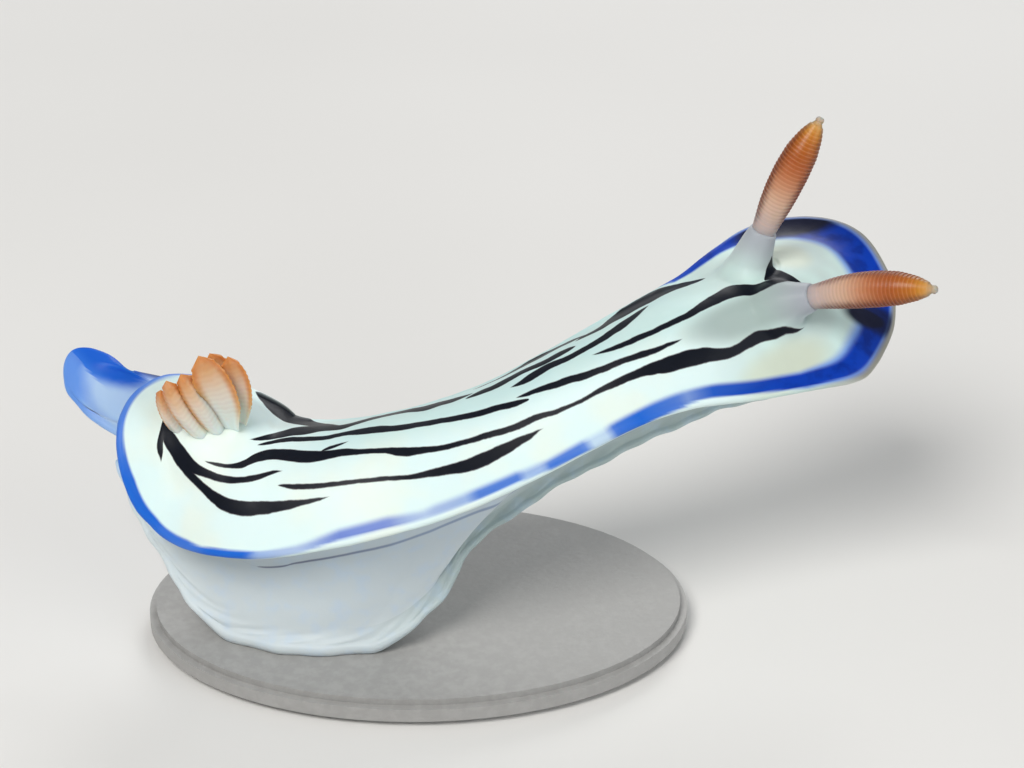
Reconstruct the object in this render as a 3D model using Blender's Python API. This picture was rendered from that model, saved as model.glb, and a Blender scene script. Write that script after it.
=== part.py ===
"""A striped sea slug (a chromodorid nudibranch) as a still, life-size model.

The animal stands on the middle of its foot, with the tail and the rear of the
mantle raised behind, and the long neck and head reaching up and forward.
+X is the way the head points, +Z is up, and the viewer stands on the -Y side.

Sizes in the tables are millimetres and degrees. Meshes are made in metres.
"""

import math

import bmesh
import bpy
import numpy as np
from mathutils import Matrix, Vector

MM = 0.001

# Driving dimensions, in millimetres

BASE_THICKNESS = 1.2
BASE_HALF_LENGTH = 11.5
BASE_HALF_BREADTH = 7.5
BASE_CENTRE = (-4.0, 1.4)
BASE_EDGE_ROUND = 0.3
BASE_SIDES = 96

GAP = 0.3                     # room between neighbouring pieces
SHIFT_X = 1.09               # sets the middle of the whole model's box at the origin
SHIFT_Y = -2.243
LIFT_Z = BASE_THICKNESS + GAP

# Mantle midline, rear to front: x, y, z, half width, dome height, roll towards the viewer
MANTLE_STATIONS = (
    (-15.6, 2.0, 9.3, 4.2, 1.3, 34),
    (-13.0, 1.7, 6.7, 4.0, 1.5, 33),
    (-9.9, 0.3, 6.2, 3.8, 1.7, 19),
    (-5.5, -0.1, 7.0, 3.7, 1.8, 9),
    (-0.8, 1.0, 8.1, 3.3, 1.6, 8),
    (4.8, 2.5, 10.5, 3.0, 1.4, 15),
    (8.7, 4.3, 11.0, 3.6, 1.9, 21),
    (13.0, 6.4, 11.7, 4.95, 1.7, 21),
    (16.3, 7.25, 11.5, 5.05, 1.3, 39),
)

# Sole midline, tip of the tail to the front of the foot: x, y, z, half width, roll
FOOT_STATIONS = (
    (-18.8, 6.5, 8.8, 0.8, 26),
    (-17.1, 4.7, 7.8, 1.5, 21),
    (-15.1, 4.5, 6.1, 2.4, 20),
    (-12.8, 2.2, 2.2, 2.6, 6),
    (-10.8, 0.7, 0.0, 2.9, 0),
    (-8.2, 0.1, 0.0, 3.1, 0),
    (-6.0, 0.2, 0.0, 3.0, 0),
    (-4.2, 0.6, 1.2, 2.8, 2),
    (-2.8, 1.1, 3.2, 2.4, 4),
    (-0.4, 1.7, 5.2, 2.1, 8),
    (3.2, 2.8, 7.0, 1.9, 12),
    (7.6, 4.6, 8.3, 1.8, 20),
    (11.8, 6.4, 8.7, 1.8, 26),
)

SPINE_SAMPLES = 240           # fine steps along each spine, for arc length
LENGTH_STEPS = 48             # steps of the mesh from rear to front

MANTLE_REAR_ROUND = 6.2       # length over which the mantle's outline closes, rear and front
MANTLE_FRONT_ROUND = 5.25
MANTLE_EDGE = 0.45            # thickness of the mantle at its free margin
EDGE_ROUND = 0.12
DOME_STEPS = (0.0, 0.24, 0.46, 0.66, 0.83, 0.94, 1.0)
DOME_POWERS = (1.15, 2.1)     # over 1 makes the margin flare out: body, and head's flat veil
HEAD_SPAN = (25.5, 30.0)      # along the mantle midline, where the one turns into the other

CORE_REAR_INSET = 1.2         # how far the trunk starts inside the mantle's outline
CORE_FRONT_INSET = 1.6
CORE_TOP_FACTOR = 0.76        # trunk half width as a part of the mantle's
CORE_FOOT_START = 4.8         # where the trunk starts along the foot; behind it is the tail
CORE_FOOT_END = 0.5
CORE_FOOT_FACTOR = 0.84
CORE_ROUND = 2.6
CORE_STEPS = (0.0, 0.12, 0.35, 0.6, 0.85, 1.0)
CORE_WAIST = 0.10             # how much the flanks draw in between mantle and foot
SNOUT_BULGE = 0.55
SNOUT_REACH = 3.0

FOOT_TOP = 0.7                # thickness of the foot
FOOT_SHOULDER = 0.42          # heights over the sole of its upper edge and of its outermost edge
FOOT_MARGIN = 0.24
FOOT_REAR_ROUND = 1.35
FOOT_FRONT_ROUND = 2.0
FOOT_STEPS = (0.0, 0.5, 0.82)
FLAT_BLEND = 1.0              # height over which the sole's roll fades to nothing at the floor

MANTLE_CUTS = (8.4, 17.6, 26.8)   # along the mantle midline
CORE_CUTS = (17.6, 26.8)          # also along the mantle midline
FOOT_CUTS = (9.6, 20.4)           # along the sole midline

# Rhinophores: the two ringed feelers on the head. Distances along and across the mantle
# of each root, how far its tip is ahead of, beside (to the viewer) and above that root, how
# far it arches from a straight line, and the length of the collar of skin it stands in.
RHINOPHORES = {
    "rhinophore_left": {"root": (29.5, -1.65), "reach": (3.7, -1.4, 5.9), "bend": (-0.25, 0.05, 0.2),
                        "collar": 1.8},
    "rhinophore_right": {"root": (29.45, 0.95), "reach": (4.15, 4.3, 3.2), "bend": (0.05, -0.15, 0.25),
                         "collar": 1.4},
}
SHEATH_PROFILE = ((-0.25, 1.25), (0.12, 1.0), (0.5, 0.74), (1.0, 0.57))   # share of the collar, radius
STALK_RADIUS = 0.46
STALK_SHARE = 0.09            # part of the feeler below the first ring
STALK_WAIST_SHARE = 0.05
CLUB_PROFILE = ((0.0, 0.5), (0.1, 0.58), (0.2, 0.67), (0.35, 0.74), (0.52, 0.76), (0.7, 0.7), (0.85, 0.5),
                (0.95, 0.26))   # share, radius over the rings
CLUB_RINGS = 12
RING_PROFILE = ((0.0, 0.1), (0.35, 0.0), (0.75, 0.0))   # share of one ring, depth under the club
KNOB_PROFILE = ((0.95, 0.2), (0.97, 0.21), (0.99, 0.16), (1.0, 0.08))       # share, radius
FEELER_SIDES = 12

# Gills: a crown of feathery plumes in a low pocket, leaning back over the rear of the mantle
GILL_ROOT = (4.4, -0.7)       # along and across the mantle
GILL_LEAN = (-0.5, 0.0, 0.86)  # ahead, side, up
POCKET_PROFILE = ((-0.6, 2.05), (0.1, 1.85), (0.45, 1.55))   # height, radius
POCKET_HEIGHT = 0.45          # above the mantle's surface
POCKET_SIDES = 24
CROWN_PROFILE = ((0.0, 1.2), (0.25, 1.32), (0.5, 1.05))      # height above its foot, radius
PLUMES = 7
PLUME_RING = 0.88             # radius of the ring on which the plumes stand
PLUME_SUNK = 0.15             # how deep a plume's foot is inside the crown, above the crown's foot
PLUME_LENGTHS = (2.2, 3.1)    # at the rear and at the front of the crown
PLUME_RADII = (0.28, 0.4, 0.46, 0.42, 0.3, 0.12)   # half width of the blade, root to tip
PLUME_FLATNESS = 0.5          # thickness of the blade over its width
PLUME_SPREAD = 0.12
PLUME_ARCH = 0.25
PLUME_SIDES = 8
LEAFLET_PAIRS = 5
LEAFLET_FIRST = 0.2           # share of the plume at the first leaflet, and from one to the next
LEAFLET_STEP = 0.13
LEAFLET_LENGTH = 0.62
LEAFLET_SHRINK = 0.35         # how much shorter a leaflet is at the tip of the plume
LEAFLET_WAY = (0.5, 0.1)      # how far a leaflet turns along the plume and outwards
LEAFLET_STAGGER = 0.2         # share of a step by which the two sides are set apart
LEAFLET_ROOT = 0.1            # share of a leaflet's length from the middle of the plume to its root
LEAFLET_RADII = (0.15, 0.065)
LEAFLET_SIDES = 4

# Mouth, lips and the two oral tentacles under the front of the mantle
MOUTH_LEVEL = 0.5             # on the snout, between mantle (0) and foot (1)
MOUTH_HALF_WIDTH = 0.55
MOUTH_HALF_HEIGHT = 0.09
MOUTH_DEPTH = 0.35
LIP_HALF_SIZES = (0.72, 0.3)
LIP_RADIUS = 0.15
LIP_STEPS = 20                # mesh steps round the mouth, and round the lip itself
LIP_SIDES = 8
TENTACLE_STEP = 6             # mesh steps back from the tip of the snout
TENTACLE_FOOT = 0.12
TENTACLE_LENGTH = 1.25
TENTACLE_FORWARD = 0.35
TENTACLE_SHARES = (0.6, 1.0)  # of that length, at the last two radii
TENTACLE_RADII = (0.3, 0.27, 0.2, 0.12)
TENTACLE_SIDES = 12
SNOUT_DEPTH_STEPS = 6         # mesh steps back from the tip to a point well inside the snout

MERGE_DISTANCE = 2e-6         # metres, as is the next
CUT_TOLERANCE = 1e-7
SHARP_ANGLE = 40              # edges turned more than this many degrees are shaded sharp


def clear_scene():
    for thing in list(bpy.data.objects):
        bpy.data.objects.remove(thing, do_unlink=True)


def catmull_rom(stations, count):
    """A smooth line through all the stations, every column alike."""
    keys = np.array(stations, dtype=float)
    keys = np.vstack([2 * keys[0] - keys[1], keys, 2 * keys[-1] - keys[-2]])
    place = np.linspace(0, len(stations) - 1, count)
    span = np.minimum(place.astype(int), len(stations) - 2)
    f = (place - span)[:, None]
    a, b, c, d = keys[span], keys[span + 1], keys[span + 2], keys[span + 3]
    return 0.5 * (2 * b + (c - a) * f + (2 * a - 5 * b + 4 * c - d) * f ** 2
                  + (3 * b - a - 3 * c + d) * f ** 3)


class Spine:
    """A midline with a frame at each point: forward, side (to the viewer) and up."""

    def __init__(self, stations, on_floor=False):
        rows = catmull_rom(stations, SPINE_SAMPLES)
        if on_floor:
            rows[:, 2] = np.maximum(rows[:, 2], 0.0)
            rows[:, -1] *= np.minimum(rows[:, 2] / FLAT_BLEND, 1.0)
        steps = np.linalg.norm(np.diff(rows[:, :3], axis=0), axis=1)
        self.rows = rows
        self.places = np.concatenate([[0.0], np.cumsum(steps)])
        self.length = self.places[-1]
        forward = np.gradient(rows[:, :3], axis=0)
        self.forward = forward / np.linalg.norm(forward, axis=1)[:, None]

    def at(self, places):
        """Rows and frame vectors at distances from the rear end."""
        places = np.atleast_1d(places)
        rows = np.stack([np.interp(places, self.places, column) for column in self.rows.T], -1)
        ahead = np.stack([np.interp(places, self.places, column) for column in self.forward.T], -1)
        ahead /= np.linalg.norm(ahead, axis=1)[:, None]
        side = np.cross(ahead, [0.0, 0.0, 1.0])
        side /= np.linalg.norm(side, axis=1)[:, None]
        up = np.cross(side, ahead)
        roll = np.radians(rows[:, -1])[:, None]
        turned_side = side * np.cos(roll) - up * np.sin(roll)
        turned_up = up * np.cos(roll) + side * np.sin(roll)
        return rows, ahead, turned_side, turned_up

    def point(self, place, across, height):
        """One point by its distance along, across (to the viewer) and above the midline."""
        rows, ahead, side, up = self.at(place)
        return rows[0, :3] + side[0] * across + up[0] * height


MANTLE = Spine(MANTLE_STATIONS)
FOOT = Spine(FOOT_STATIONS, on_floor=True)


def even_places(start, end):
    """Places from start to end, closer together near both ends."""
    share = (1 - np.cos(np.pi * np.linspace(0, 1, LENGTH_STEPS + 1))) / 2
    return start + (end - start) * share


def closing(places, rear_round, front_round):
    """1 along the middle, falling to 0 at both ends as the outline of an ellipse does."""
    rear = np.clip(1 - (places - places[0]) / rear_round, 0, 1)
    front = np.clip(1 - (places[-1] - places) / front_round, 0, 1)
    return np.sqrt(np.clip(1 - rear ** 2, 0, 1)) * np.sqrt(np.clip(1 - front ** 2, 0, 1))


def dome_height(places, rows, close, t):
    """How high the back stands over its margin; t is 0 on the midline and 1 at the margin."""
    return rows[:, 4] * (close ** 2 * (1 - t ** 2)) ** np.interp(places, HEAD_SPAN, DOME_POWERS)


def ring(spine, places, half_width, height):
    """One loop round a spine, as its near side and its far side."""
    rows, ahead, side, up = spine.at(places)
    middle = rows[:, :3] + up * np.broadcast_to(height, places.shape)[:, None]
    return middle + side * half_width[:, None], middle - side * half_width[:, None]


def mantle_rings():
    rings = []
    inner = even_places(EDGE_ROUND, MANTLE.length - EDGE_ROUND)
    close = closing(inner, MANTLE_REAR_ROUND, MANTLE_FRONT_ROUND)
    rows = MANTLE.at(inner)[0]
    for t in DOME_STEPS:
        dome = dome_height(inner, rows, close, t)
        rings.append(ring(MANTLE, inner, t * (rows[:, 3] - EDGE_ROUND) * close, dome))
    outer = even_places(0.0, MANTLE.length)
    outer_close = closing(outer, MANTLE_REAR_ROUND, MANTLE_FRONT_ROUND)
    rings.append(ring(MANTLE, outer, MANTLE.at(outer)[0][:, 3] * outer_close, -MANTLE_EDGE / 2))
    rings.append(ring(MANTLE, inner, (rows[:, 3] - EDGE_ROUND) * close, -MANTLE_EDGE))
    under = even_places(CORE_REAR_INSET, MANTLE.length - CORE_FRONT_INSET)
    under_close = closing(under, CORE_ROUND, CORE_ROUND)
    under_width = CORE_TOP_FACTOR * MANTLE.at(under)[0][:, 3] * under_close
    rings.append(ring(MANTLE, under, under_width, -MANTLE_EDGE))
    return rings


def core_rings():
    """The trunk between mantle and foot: a stack of loops from the mantle down to the foot."""
    high = even_places(CORE_REAR_INSET, MANTLE.length - CORE_FRONT_INSET)
    high_close = closing(high, CORE_ROUND, CORE_ROUND)
    high_width = CORE_TOP_FACTOR * MANTLE.at(high)[0][:, 3] * high_close
    top = ring(MANTLE, high, high_width, -MANTLE_EDGE - GAP)
    low = even_places(CORE_FOOT_START, FOOT.length - CORE_FOOT_END)
    low_close = closing(low, CORE_ROUND, CORE_ROUND)
    low_width = CORE_FOOT_FACTOR * FOOT.at(low)[0][:, 3] * low_close
    bottom = ring(FOOT, low, low_width, FOOT_TOP + GAP)
    ahead = MANTLE.at(high)[1]
    near_front = np.clip(1 - (high[-1] - high) / SNOUT_REACH, 0, 1) ** 2
    rings = []
    for v in CORE_STEPS:
        near, far = [(1 - v) * a + v * b for a, b in zip(top, bottom)]
        middle = (near + far) / 2
        draw = CORE_WAIST * math.sin(math.pi * v)
        push = ahead * (SNOUT_BULGE * math.sin(math.pi * v) * near_front)[:, None]
        rings.append(tuple(side + (middle - side) * draw + push for side in (near, far)))
    return rings


def foot_rings():
    places = even_places(EDGE_ROUND, FOOT.length - EDGE_ROUND)
    close = closing(places, FOOT_REAR_ROUND, FOOT_FRONT_ROUND)
    width = FOOT.at(places)[0][:, 3] * close
    inner_width = np.maximum(width - EDGE_ROUND, 0.0)
    rings = [ring(FOOT, places, t * inner_width, FOOT_TOP) for t in FOOT_STEPS]
    rings.append(ring(FOOT, places, inner_width, FOOT_SHOULDER))
    outer = even_places(0.0, FOOT.length)
    outer_close = closing(outer, FOOT_REAR_ROUND, FOOT_FRONT_ROUND)
    rings.append(ring(FOOT, outer, FOOT.at(outer)[0][:, 3] * outer_close, FOOT_MARGIN))
    rings.append(ring(FOOT, places, inner_width, 0.0))
    return rings


def placed(point):
    """A point of the tables, moved to its place in the model, in metres."""
    return Vector(((point[0] + SHIFT_X) * MM, (point[1] + SHIFT_Y) * MM, (point[2] + LIFT_Z) * MM))


def solid_from_rings(rings):
    """A closed mesh from loops that start at the top and end at the bottom."""
    bm = bmesh.new()
    rows = [[[bm.verts.new(placed(p)) for p in side] for side in loop] for loop in rings]
    for upper, lower in zip(rows, rows[1:]):
        for side in (0, 1):
            for i in range(len(upper[side]) - 1):
                bm.faces.new((upper[side][i], upper[side][i + 1], lower[side][i + 1], lower[side][i]))
    for near, far in (rows[0], rows[-1]):
        for i in range(len(near) - 1):
            bm.faces.new((near[i], near[i + 1], far[i + 1], far[i]))
    bmesh.ops.remove_doubles(bm, verts=bm.verts, dist=MERGE_DISTANCE)
    bmesh.ops.dissolve_degenerate(bm, dist=MERGE_DISTANCE / 2, edges=bm.edges)
    loose = [v for v in bm.verts if not v.link_faces]
    bmesh.ops.delete(bm, geom=loose, context="VERTS")
    bmesh.ops.recalc_face_normals(bm, faces=bm.faces)
    return bm


def cut_off(bm, point, direction):
    """Cuts away what lies beyond a plane and closes the cut."""
    geometry = list(bm.verts) + list(bm.edges) + list(bm.faces)
    bmesh.ops.bisect_plane(bm, geom=geometry, dist=CUT_TOLERANCE, plane_co=point, plane_no=direction,
                           clear_outer=True)
    rim = [e for e in bm.edges if e.is_boundary]
    bmesh.ops.triangle_fill(bm, edges=rim, use_beauty=True)
    bmesh.ops.recalc_face_normals(bm, faces=bm.faces)


def closed_surfaces(bm):
    """The separate surfaces of a mesh, each as a set of faces."""
    left = set(bm.faces)
    surfaces = []
    while left:
        grown = set()
        front = [left.pop()]
        while front:
            face = front.pop()
            grown.add(face)
            for edge in face.edges:
                for other in edge.link_faces:
                    if other in left:
                        left.remove(other)
                        front.append(other)
        surfaces.append(grown)
    return surfaces


def keep_largest(bm):
    """Drops every separate surface but the one with the largest area."""
    surfaces = sorted(closed_surfaces(bm), key=lambda faces: sum(f.calc_area() for f in faces))
    for faces in surfaces[:-1]:
        bmesh.ops.delete(bm, geom=list(faces), context="FACES")
    loose = [v for v in bm.verts if not v.link_faces]
    bmesh.ops.delete(bm, geom=loose, context="VERTS")


def length_of(whole, spine, start, end):
    """A copy of a solid between two places on its spine, half a gap short at each cut."""
    bm = whole.copy()
    for place, sign in ((start, -1), (end, 1)):
        if place is None:
            continue
        rows, ahead, side, up = spine.at(place)
        face = rows[0, :3] - ahead[0] * sign * GAP / 2
        cut_off(bm, placed(face), Vector(ahead[0] * sign))
        keep_largest(bm)
    return bm


def make_material(name, colour, roughness):
    material = bpy.data.materials.new(name)
    material.use_nodes = True
    shader = material.node_tree.nodes["Principled BSDF"]
    shader.inputs["Base Color"].default_value = (*colour, 1.0)
    shader.inputs["Roughness"].default_value = roughness
    shader.inputs["Metallic"].default_value = 0.0
    return material


def make_object(name, bm, material):
    mesh = bpy.data.meshes.new(name)
    bm.to_mesh(mesh)
    bm.free()
    mesh.shade_smooth()
    mesh.set_sharp_from_angle(angle=math.radians(SHARP_ANGLE))
    mesh.materials.append(material)
    thing = bpy.data.objects.new(name, mesh)
    bpy.context.scene.collection.objects.link(thing)
    return thing


def lengths(names, whole, spine, cuts, material):
    """One object for each stretch of a solid between its cuts."""
    ends = (None, *cuts, None)
    made = {}
    for name, start, end in zip(names, ends, ends[1:]):
        made[name] = make_object(name, length_of(whole, spine, start, end), material)
    whole.free()
    return made


def tube(path, radii, sides, flatness=1.0, across=Vector((0.0, 1.0, 0.0))):
    """A closed tube along points given in metres; flatness under 1 squeezes it across."""
    bm = bmesh.new()
    rings = []
    for i, centre in enumerate(path):
        before = path[max(i - 1, 0)]
        after = path[min(i + 1, len(path) - 1)]
        along = (after - before).normalized()
        u = (across - along * across.dot(along)).normalized()
        v = along.cross(u)
        rings.append([bm.verts.new(centre + (u * math.cos(a) + v * math.sin(a) * flatness) * radii[i])
                      for a in (math.tau * k / sides for k in range(sides))])
    for lower, upper in zip(rings, rings[1:]):
        for k in range(sides):
            nxt = (k + 1) % sides
            bm.faces.new((lower[k], lower[nxt], upper[nxt], upper[k]))
    bm.faces.new(rings[0])
    bm.faces.new(rings[-1])
    bmesh.ops.recalc_face_normals(bm, faces=bm.faces)
    return bm


def frame_at(spine, place):
    """Forward, side and up at one place of a spine, as vectors."""
    rows, ahead, side, up = spine.at(place)
    return Vector(ahead[0]), Vector(side[0]), Vector(up[0])


def on_mantle(along, across):
    """A point on the top of the mantle, in metres, with the local frame."""
    rows = MANTLE.at(along)[0]
    places = np.array([0.0, along, MANTLE.length])
    close = closing(places, MANTLE_REAR_ROUND, MANTLE_FRONT_ROUND)[1]
    t = across / ((rows[0, 3] - EDGE_ROUND) * close)
    dome = dome_height(along, rows, close, t)[0]
    ahead, side, up = frame_at(MANTLE, along)
    return placed(MANTLE.point(along, across, dome)), ahead, side, up


def mixed(frame, amounts):
    """A vector from its amounts ahead, to the side and up."""
    return sum((axis * amount for axis, amount in zip(frame, amounts)), Vector())


def feeler_axis(spec):
    """Root, tip and bend of a rhinophore, in metres."""
    root, *frame = on_mantle(*spec["root"])
    tip = root + mixed(frame, spec["reach"]) * MM
    return root, tip, mixed(frame, spec["bend"]) * MM


def bent(root, tip, bend, share):
    """A point on the arched line from root to tip."""
    return root.lerp(tip, share) + bend * (4 * share * (1 - share))


def sheath(spec):
    """The raised collar of skin that a rhinophore stands in."""
    root, tip, bend = feeler_axis(spec)
    part = spec["collar"] * MM / (tip - root).length
    path = [bent(root, tip, bend, share * part) for share, radius in SHEATH_PROFILE]
    return tube(path, [radius * MM for share, radius in SHEATH_PROFILE], FEELER_SIDES)


def rhinophore(name, spec, material):
    """A club of stacked rings on a short stalk, with a small knob at the tip."""
    root, tip, bend = feeler_axis(spec)
    start = (spec["collar"] + GAP) * MM / (tip - root).length
    shares, radii = zip(*CLUB_PROFILE)
    profile = [(0.0, STALK_RADIUS), (STALK_WAIST_SHARE, STALK_RADIUS)]
    pitch = (shares[-1] - STALK_SHARE) / CLUB_RINGS
    for k in range(CLUB_RINGS):
        low = STALK_SHARE + pitch * k
        for part, depth in RING_PROFILE:
            share = low + pitch * part
            profile.append((share, float(np.interp(share, shares, radii)) - depth))
    profile += KNOB_PROFILE
    path = [bent(root, tip, bend, start + (1 - start) * share) for share, radius in profile]
    make_object(name, tube(path, [r * MM for share, r in profile], FEELER_SIDES), material)


def fused(name, core, pieces, material, operation="UNION"):
    """One closed solid from a core and other closed pieces, by one Boolean."""
    group = bpy.data.collections.new(name + "_pieces")
    bpy.context.scene.collection.children.link(group)
    for piece in pieces:
        mesh = bpy.data.meshes.new("piece")
        piece.to_mesh(mesh)
        piece.free()
        group.objects.link(bpy.data.objects.new("piece", mesh))
    modifier = core.modifiers.new("fuse", "BOOLEAN")
    modifier.operation = operation
    modifier.operand_type = "COLLECTION"
    modifier.collection = group
    modifier.solver = "EXACT"
    bpy.context.view_layer.update()
    graph = bpy.context.evaluated_depsgraph_get()
    result = bpy.data.meshes.new_from_object(core.evaluated_get(graph))
    bpy.data.objects.remove(core, do_unlink=True)
    for thing in list(group.objects):
        bpy.data.objects.remove(thing, do_unlink=True)
    bpy.data.collections.remove(group)
    bm = bmesh.new()
    bm.from_mesh(result)
    bpy.data.meshes.remove(result)
    bmesh.ops.triangulate(bm, faces=bm.faces)
    keep_largest(bm)
    return make_object(name, bm, material)


def gill_frame():
    """Foot of the gill crown and its own frame: forward, side and along the lean."""
    root, *frame = on_mantle(*GILL_ROOT)
    lean = mixed(frame, GILL_LEAN).normalized()
    side = frame[1]
    forward = lean.cross(side)
    if forward.dot(frame[0]) < 0:
        forward = -forward
    return root, frame[2], forward.normalized(), side, lean


def gill_pocket():
    """The low raised ring of mantle skin round the gills, flat on top."""
    root, up, forward, side, lean = gill_frame()
    path = [root + up * height * MM for height, radius in POCKET_PROFILE]
    return tube(path, [radius * MM for height, radius in POCKET_PROFILE], POCKET_SIDES)


def plume(angle):
    """The closed pieces of one plume: a tapering blade, and flat leaflets down both its sides."""
    root, up, forward, side, lean = gill_frame()
    outward = forward * math.cos(angle) + side * math.sin(angle)
    length = float(np.interp(math.cos(angle), (-1, 1), PLUME_LENGTHS)) * MM
    start = root + up * (POCKET_HEIGHT + GAP + PLUME_SUNK) * MM + outward * PLUME_RING * MM
    tip = start + (lean + outward * PLUME_SPREAD).normalized() * length
    arch = outward * PLUME_ARCH * MM
    flank = (tip - start).cross(outward).normalized()
    along = (tip - start).normalized()
    shares = np.linspace(0, 1, len(PLUME_RADII))
    path = [bent(start, tip, arch, float(share)) for share in shares]
    pieces = [tube(path, [r * MM for r in PLUME_RADII], PLUME_SIDES, PLUME_FLATNESS, across=flank)]
    ahead, outer = LEAFLET_WAY
    for k in range(LEAFLET_PAIRS):
        for sign in (-1, 1):
            share = LEAFLET_FIRST + LEAFLET_STEP * (k + LEAFLET_STAGGER * sign)
            middle = bent(start, tip, arch, share)
            reach = LEAFLET_LENGTH * (1.0 - LEAFLET_SHRINK * share) * MM
            away = (flank * sign + along * ahead + outward * outer).normalized()
            leaf = [middle + away * reach * LEAFLET_ROOT, middle + away * reach]
            pieces.append(tube(leaf, [r * MM for r in LEAFLET_RADII], LEAFLET_SIDES, across=along))
    return pieces


def gills(material):
    root, up, forward, side, lean = gill_frame()
    foot = POCKET_HEIGHT + GAP
    path = [root + up * (foot + height) * MM for height, radius in CROWN_PROFILE]
    crown = tube(path, [radius * MM for height, radius in CROWN_PROFILE], POCKET_SIDES)
    pieces = []
    for k in range(PLUMES):
        pieces += plume(math.tau * (k + 0.5) / PLUMES)
    fused("gills", make_object("crown", crown, material), pieces, material)


def snout_point(rings, level, steps_back, side_index):
    """A point on the snout with its outward direction; level runs from mantle to foot."""
    span = level * (len(rings) - 1)
    k = min(int(span), len(rings) - 2)
    f = span - k
    i = LENGTH_STEPS - steps_back
    upper = rings[k][side_index]
    lower = rings[k + 1][side_index]
    here = (1 - f) * upper[i] + f * lower[i]
    down = lower[i] - upper[i]
    back = (1 - f) * (upper[i - 1] - upper[i]) + f * (lower[i - 1] - lower[i])
    deep = i - SNOUT_DEPTH_STEPS
    inside = (rings[k][0][deep] + rings[k + 1][1][deep]) / 2
    outward = np.cross(down, back)
    outward /= np.linalg.norm(outward)
    if outward @ (here - inside) < 0:
        outward = -outward
    return placed(here), Vector(outward), Vector(down / np.linalg.norm(down))


def ring_tube(centre, wide, high, radius):
    """A closed ring of round section on an oval; wide and high are its half axes."""
    bm = bmesh.new()
    normal = wide.cross(high).normalized()
    loops = []
    for k in range(LIP_STEPS):
        angle = math.tau * k / LIP_STEPS
        middle = centre + wide * math.cos(angle) + high * math.sin(angle)
        outward = wide * math.cos(angle) / wide.length_squared
        outward += high * math.sin(angle) / high.length_squared
        outward.normalize()
        loops.append([bm.verts.new(middle + (outward * math.cos(a) + normal * math.sin(a)) * radius)
                      for a in (math.tau * j / LIP_SIDES for j in range(LIP_SIDES))])
    for k in range(LIP_STEPS):
        here, there = loops[k], loops[(k + 1) % LIP_STEPS]
        for j in range(LIP_SIDES):
            nxt = (j + 1) % LIP_SIDES
            bm.faces.new((here[j], here[nxt], there[nxt], there[j]))
    bmesh.ops.recalc_face_normals(bm, faces=bm.faces)
    return bm


def mouth_frame(rings):
    near, outward, down = snout_point(rings, MOUTH_LEVEL, 1, 0)
    far = snout_point(rings, MOUTH_LEVEL, 1, 1)[0]
    across = (near - far).normalized()
    outward = across.cross(down)
    forward = frame_at(MANTLE, MANTLE.length)[0]
    if outward.dot(forward) < 0:
        outward = -outward
    return (near + far) / 2, across, outward.normalized(), down


def lips(rings):
    centre, across, outward, down = mouth_frame(rings)
    high = outward.cross(across).normalized()
    wide_half, high_half = LIP_HALF_SIZES
    return ring_tube(centre, across * wide_half * MM, high * high_half * MM, LIP_RADIUS * MM)


def mouth_slit(rings):
    """The cutter for the slit of the mouth."""
    centre, across, outward, down = mouth_frame(rings)
    high = outward.cross(across).normalized()
    bm = bmesh.new()
    bmesh.ops.create_uvsphere(bm, u_segments=16, v_segments=8, radius=1.0)
    sizes = Matrix.Diagonal((MOUTH_HALF_WIDTH * MM, MOUTH_HALF_HEIGHT * MM, MOUTH_DEPTH * MM))
    turn = Matrix((across, high, outward)).transposed()
    bmesh.ops.transform(bm, matrix=Matrix.Translation(centre) @ (turn @ sizes).to_4x4(), verts=bm.verts)
    bmesh.ops.recalc_face_normals(bm, faces=bm.faces)
    return bm


def oral_tentacle(name, rings, side_index, material):
    here, outward, down = snout_point(rings, MOUTH_LEVEL, TENTACLE_STEP, side_index)
    ahead = frame_at(MANTLE, MANTLE.length)[0]
    way = (outward + ahead * TENTACLE_FORWARD).normalized()
    start = here + outward * GAP * MM
    foot = start + outward * TENTACLE_FOOT * MM
    path = [start, foot] + [foot + way * TENTACLE_LENGTH * share * MM for share in TENTACLE_SHARES]
    make_object(name, tube(path, [r * MM for r in TENTACLE_RADII], TENTACLE_SIDES), material)


def stand_base(material):
    bm = bmesh.new()
    bmesh.ops.create_cone(bm, cap_ends=True, segments=BASE_SIDES, radius1=1.0, radius2=1.0, depth=1.0)
    bmesh.ops.scale(bm, verts=bm.verts,
                    vec=(BASE_HALF_LENGTH * MM, BASE_HALF_BREADTH * MM, BASE_THICKNESS * MM))
    centre = ((BASE_CENTRE[0] + SHIFT_X) * MM, (BASE_CENTRE[1] + SHIFT_Y) * MM, BASE_THICKNESS * MM / 2)
    bmesh.ops.translate(bm, verts=bm.verts, vec=centre)
    rims = [e for e in bm.edges if abs(e.verts[0].co.z - e.verts[1].co.z) < MERGE_DISTANCE]
    bmesh.ops.bevel(bm, geom=rims, offset=BASE_EDGE_ROUND * MM, segments=2, affect="EDGES")
    return make_object("stand_base", bm, material)


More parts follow.
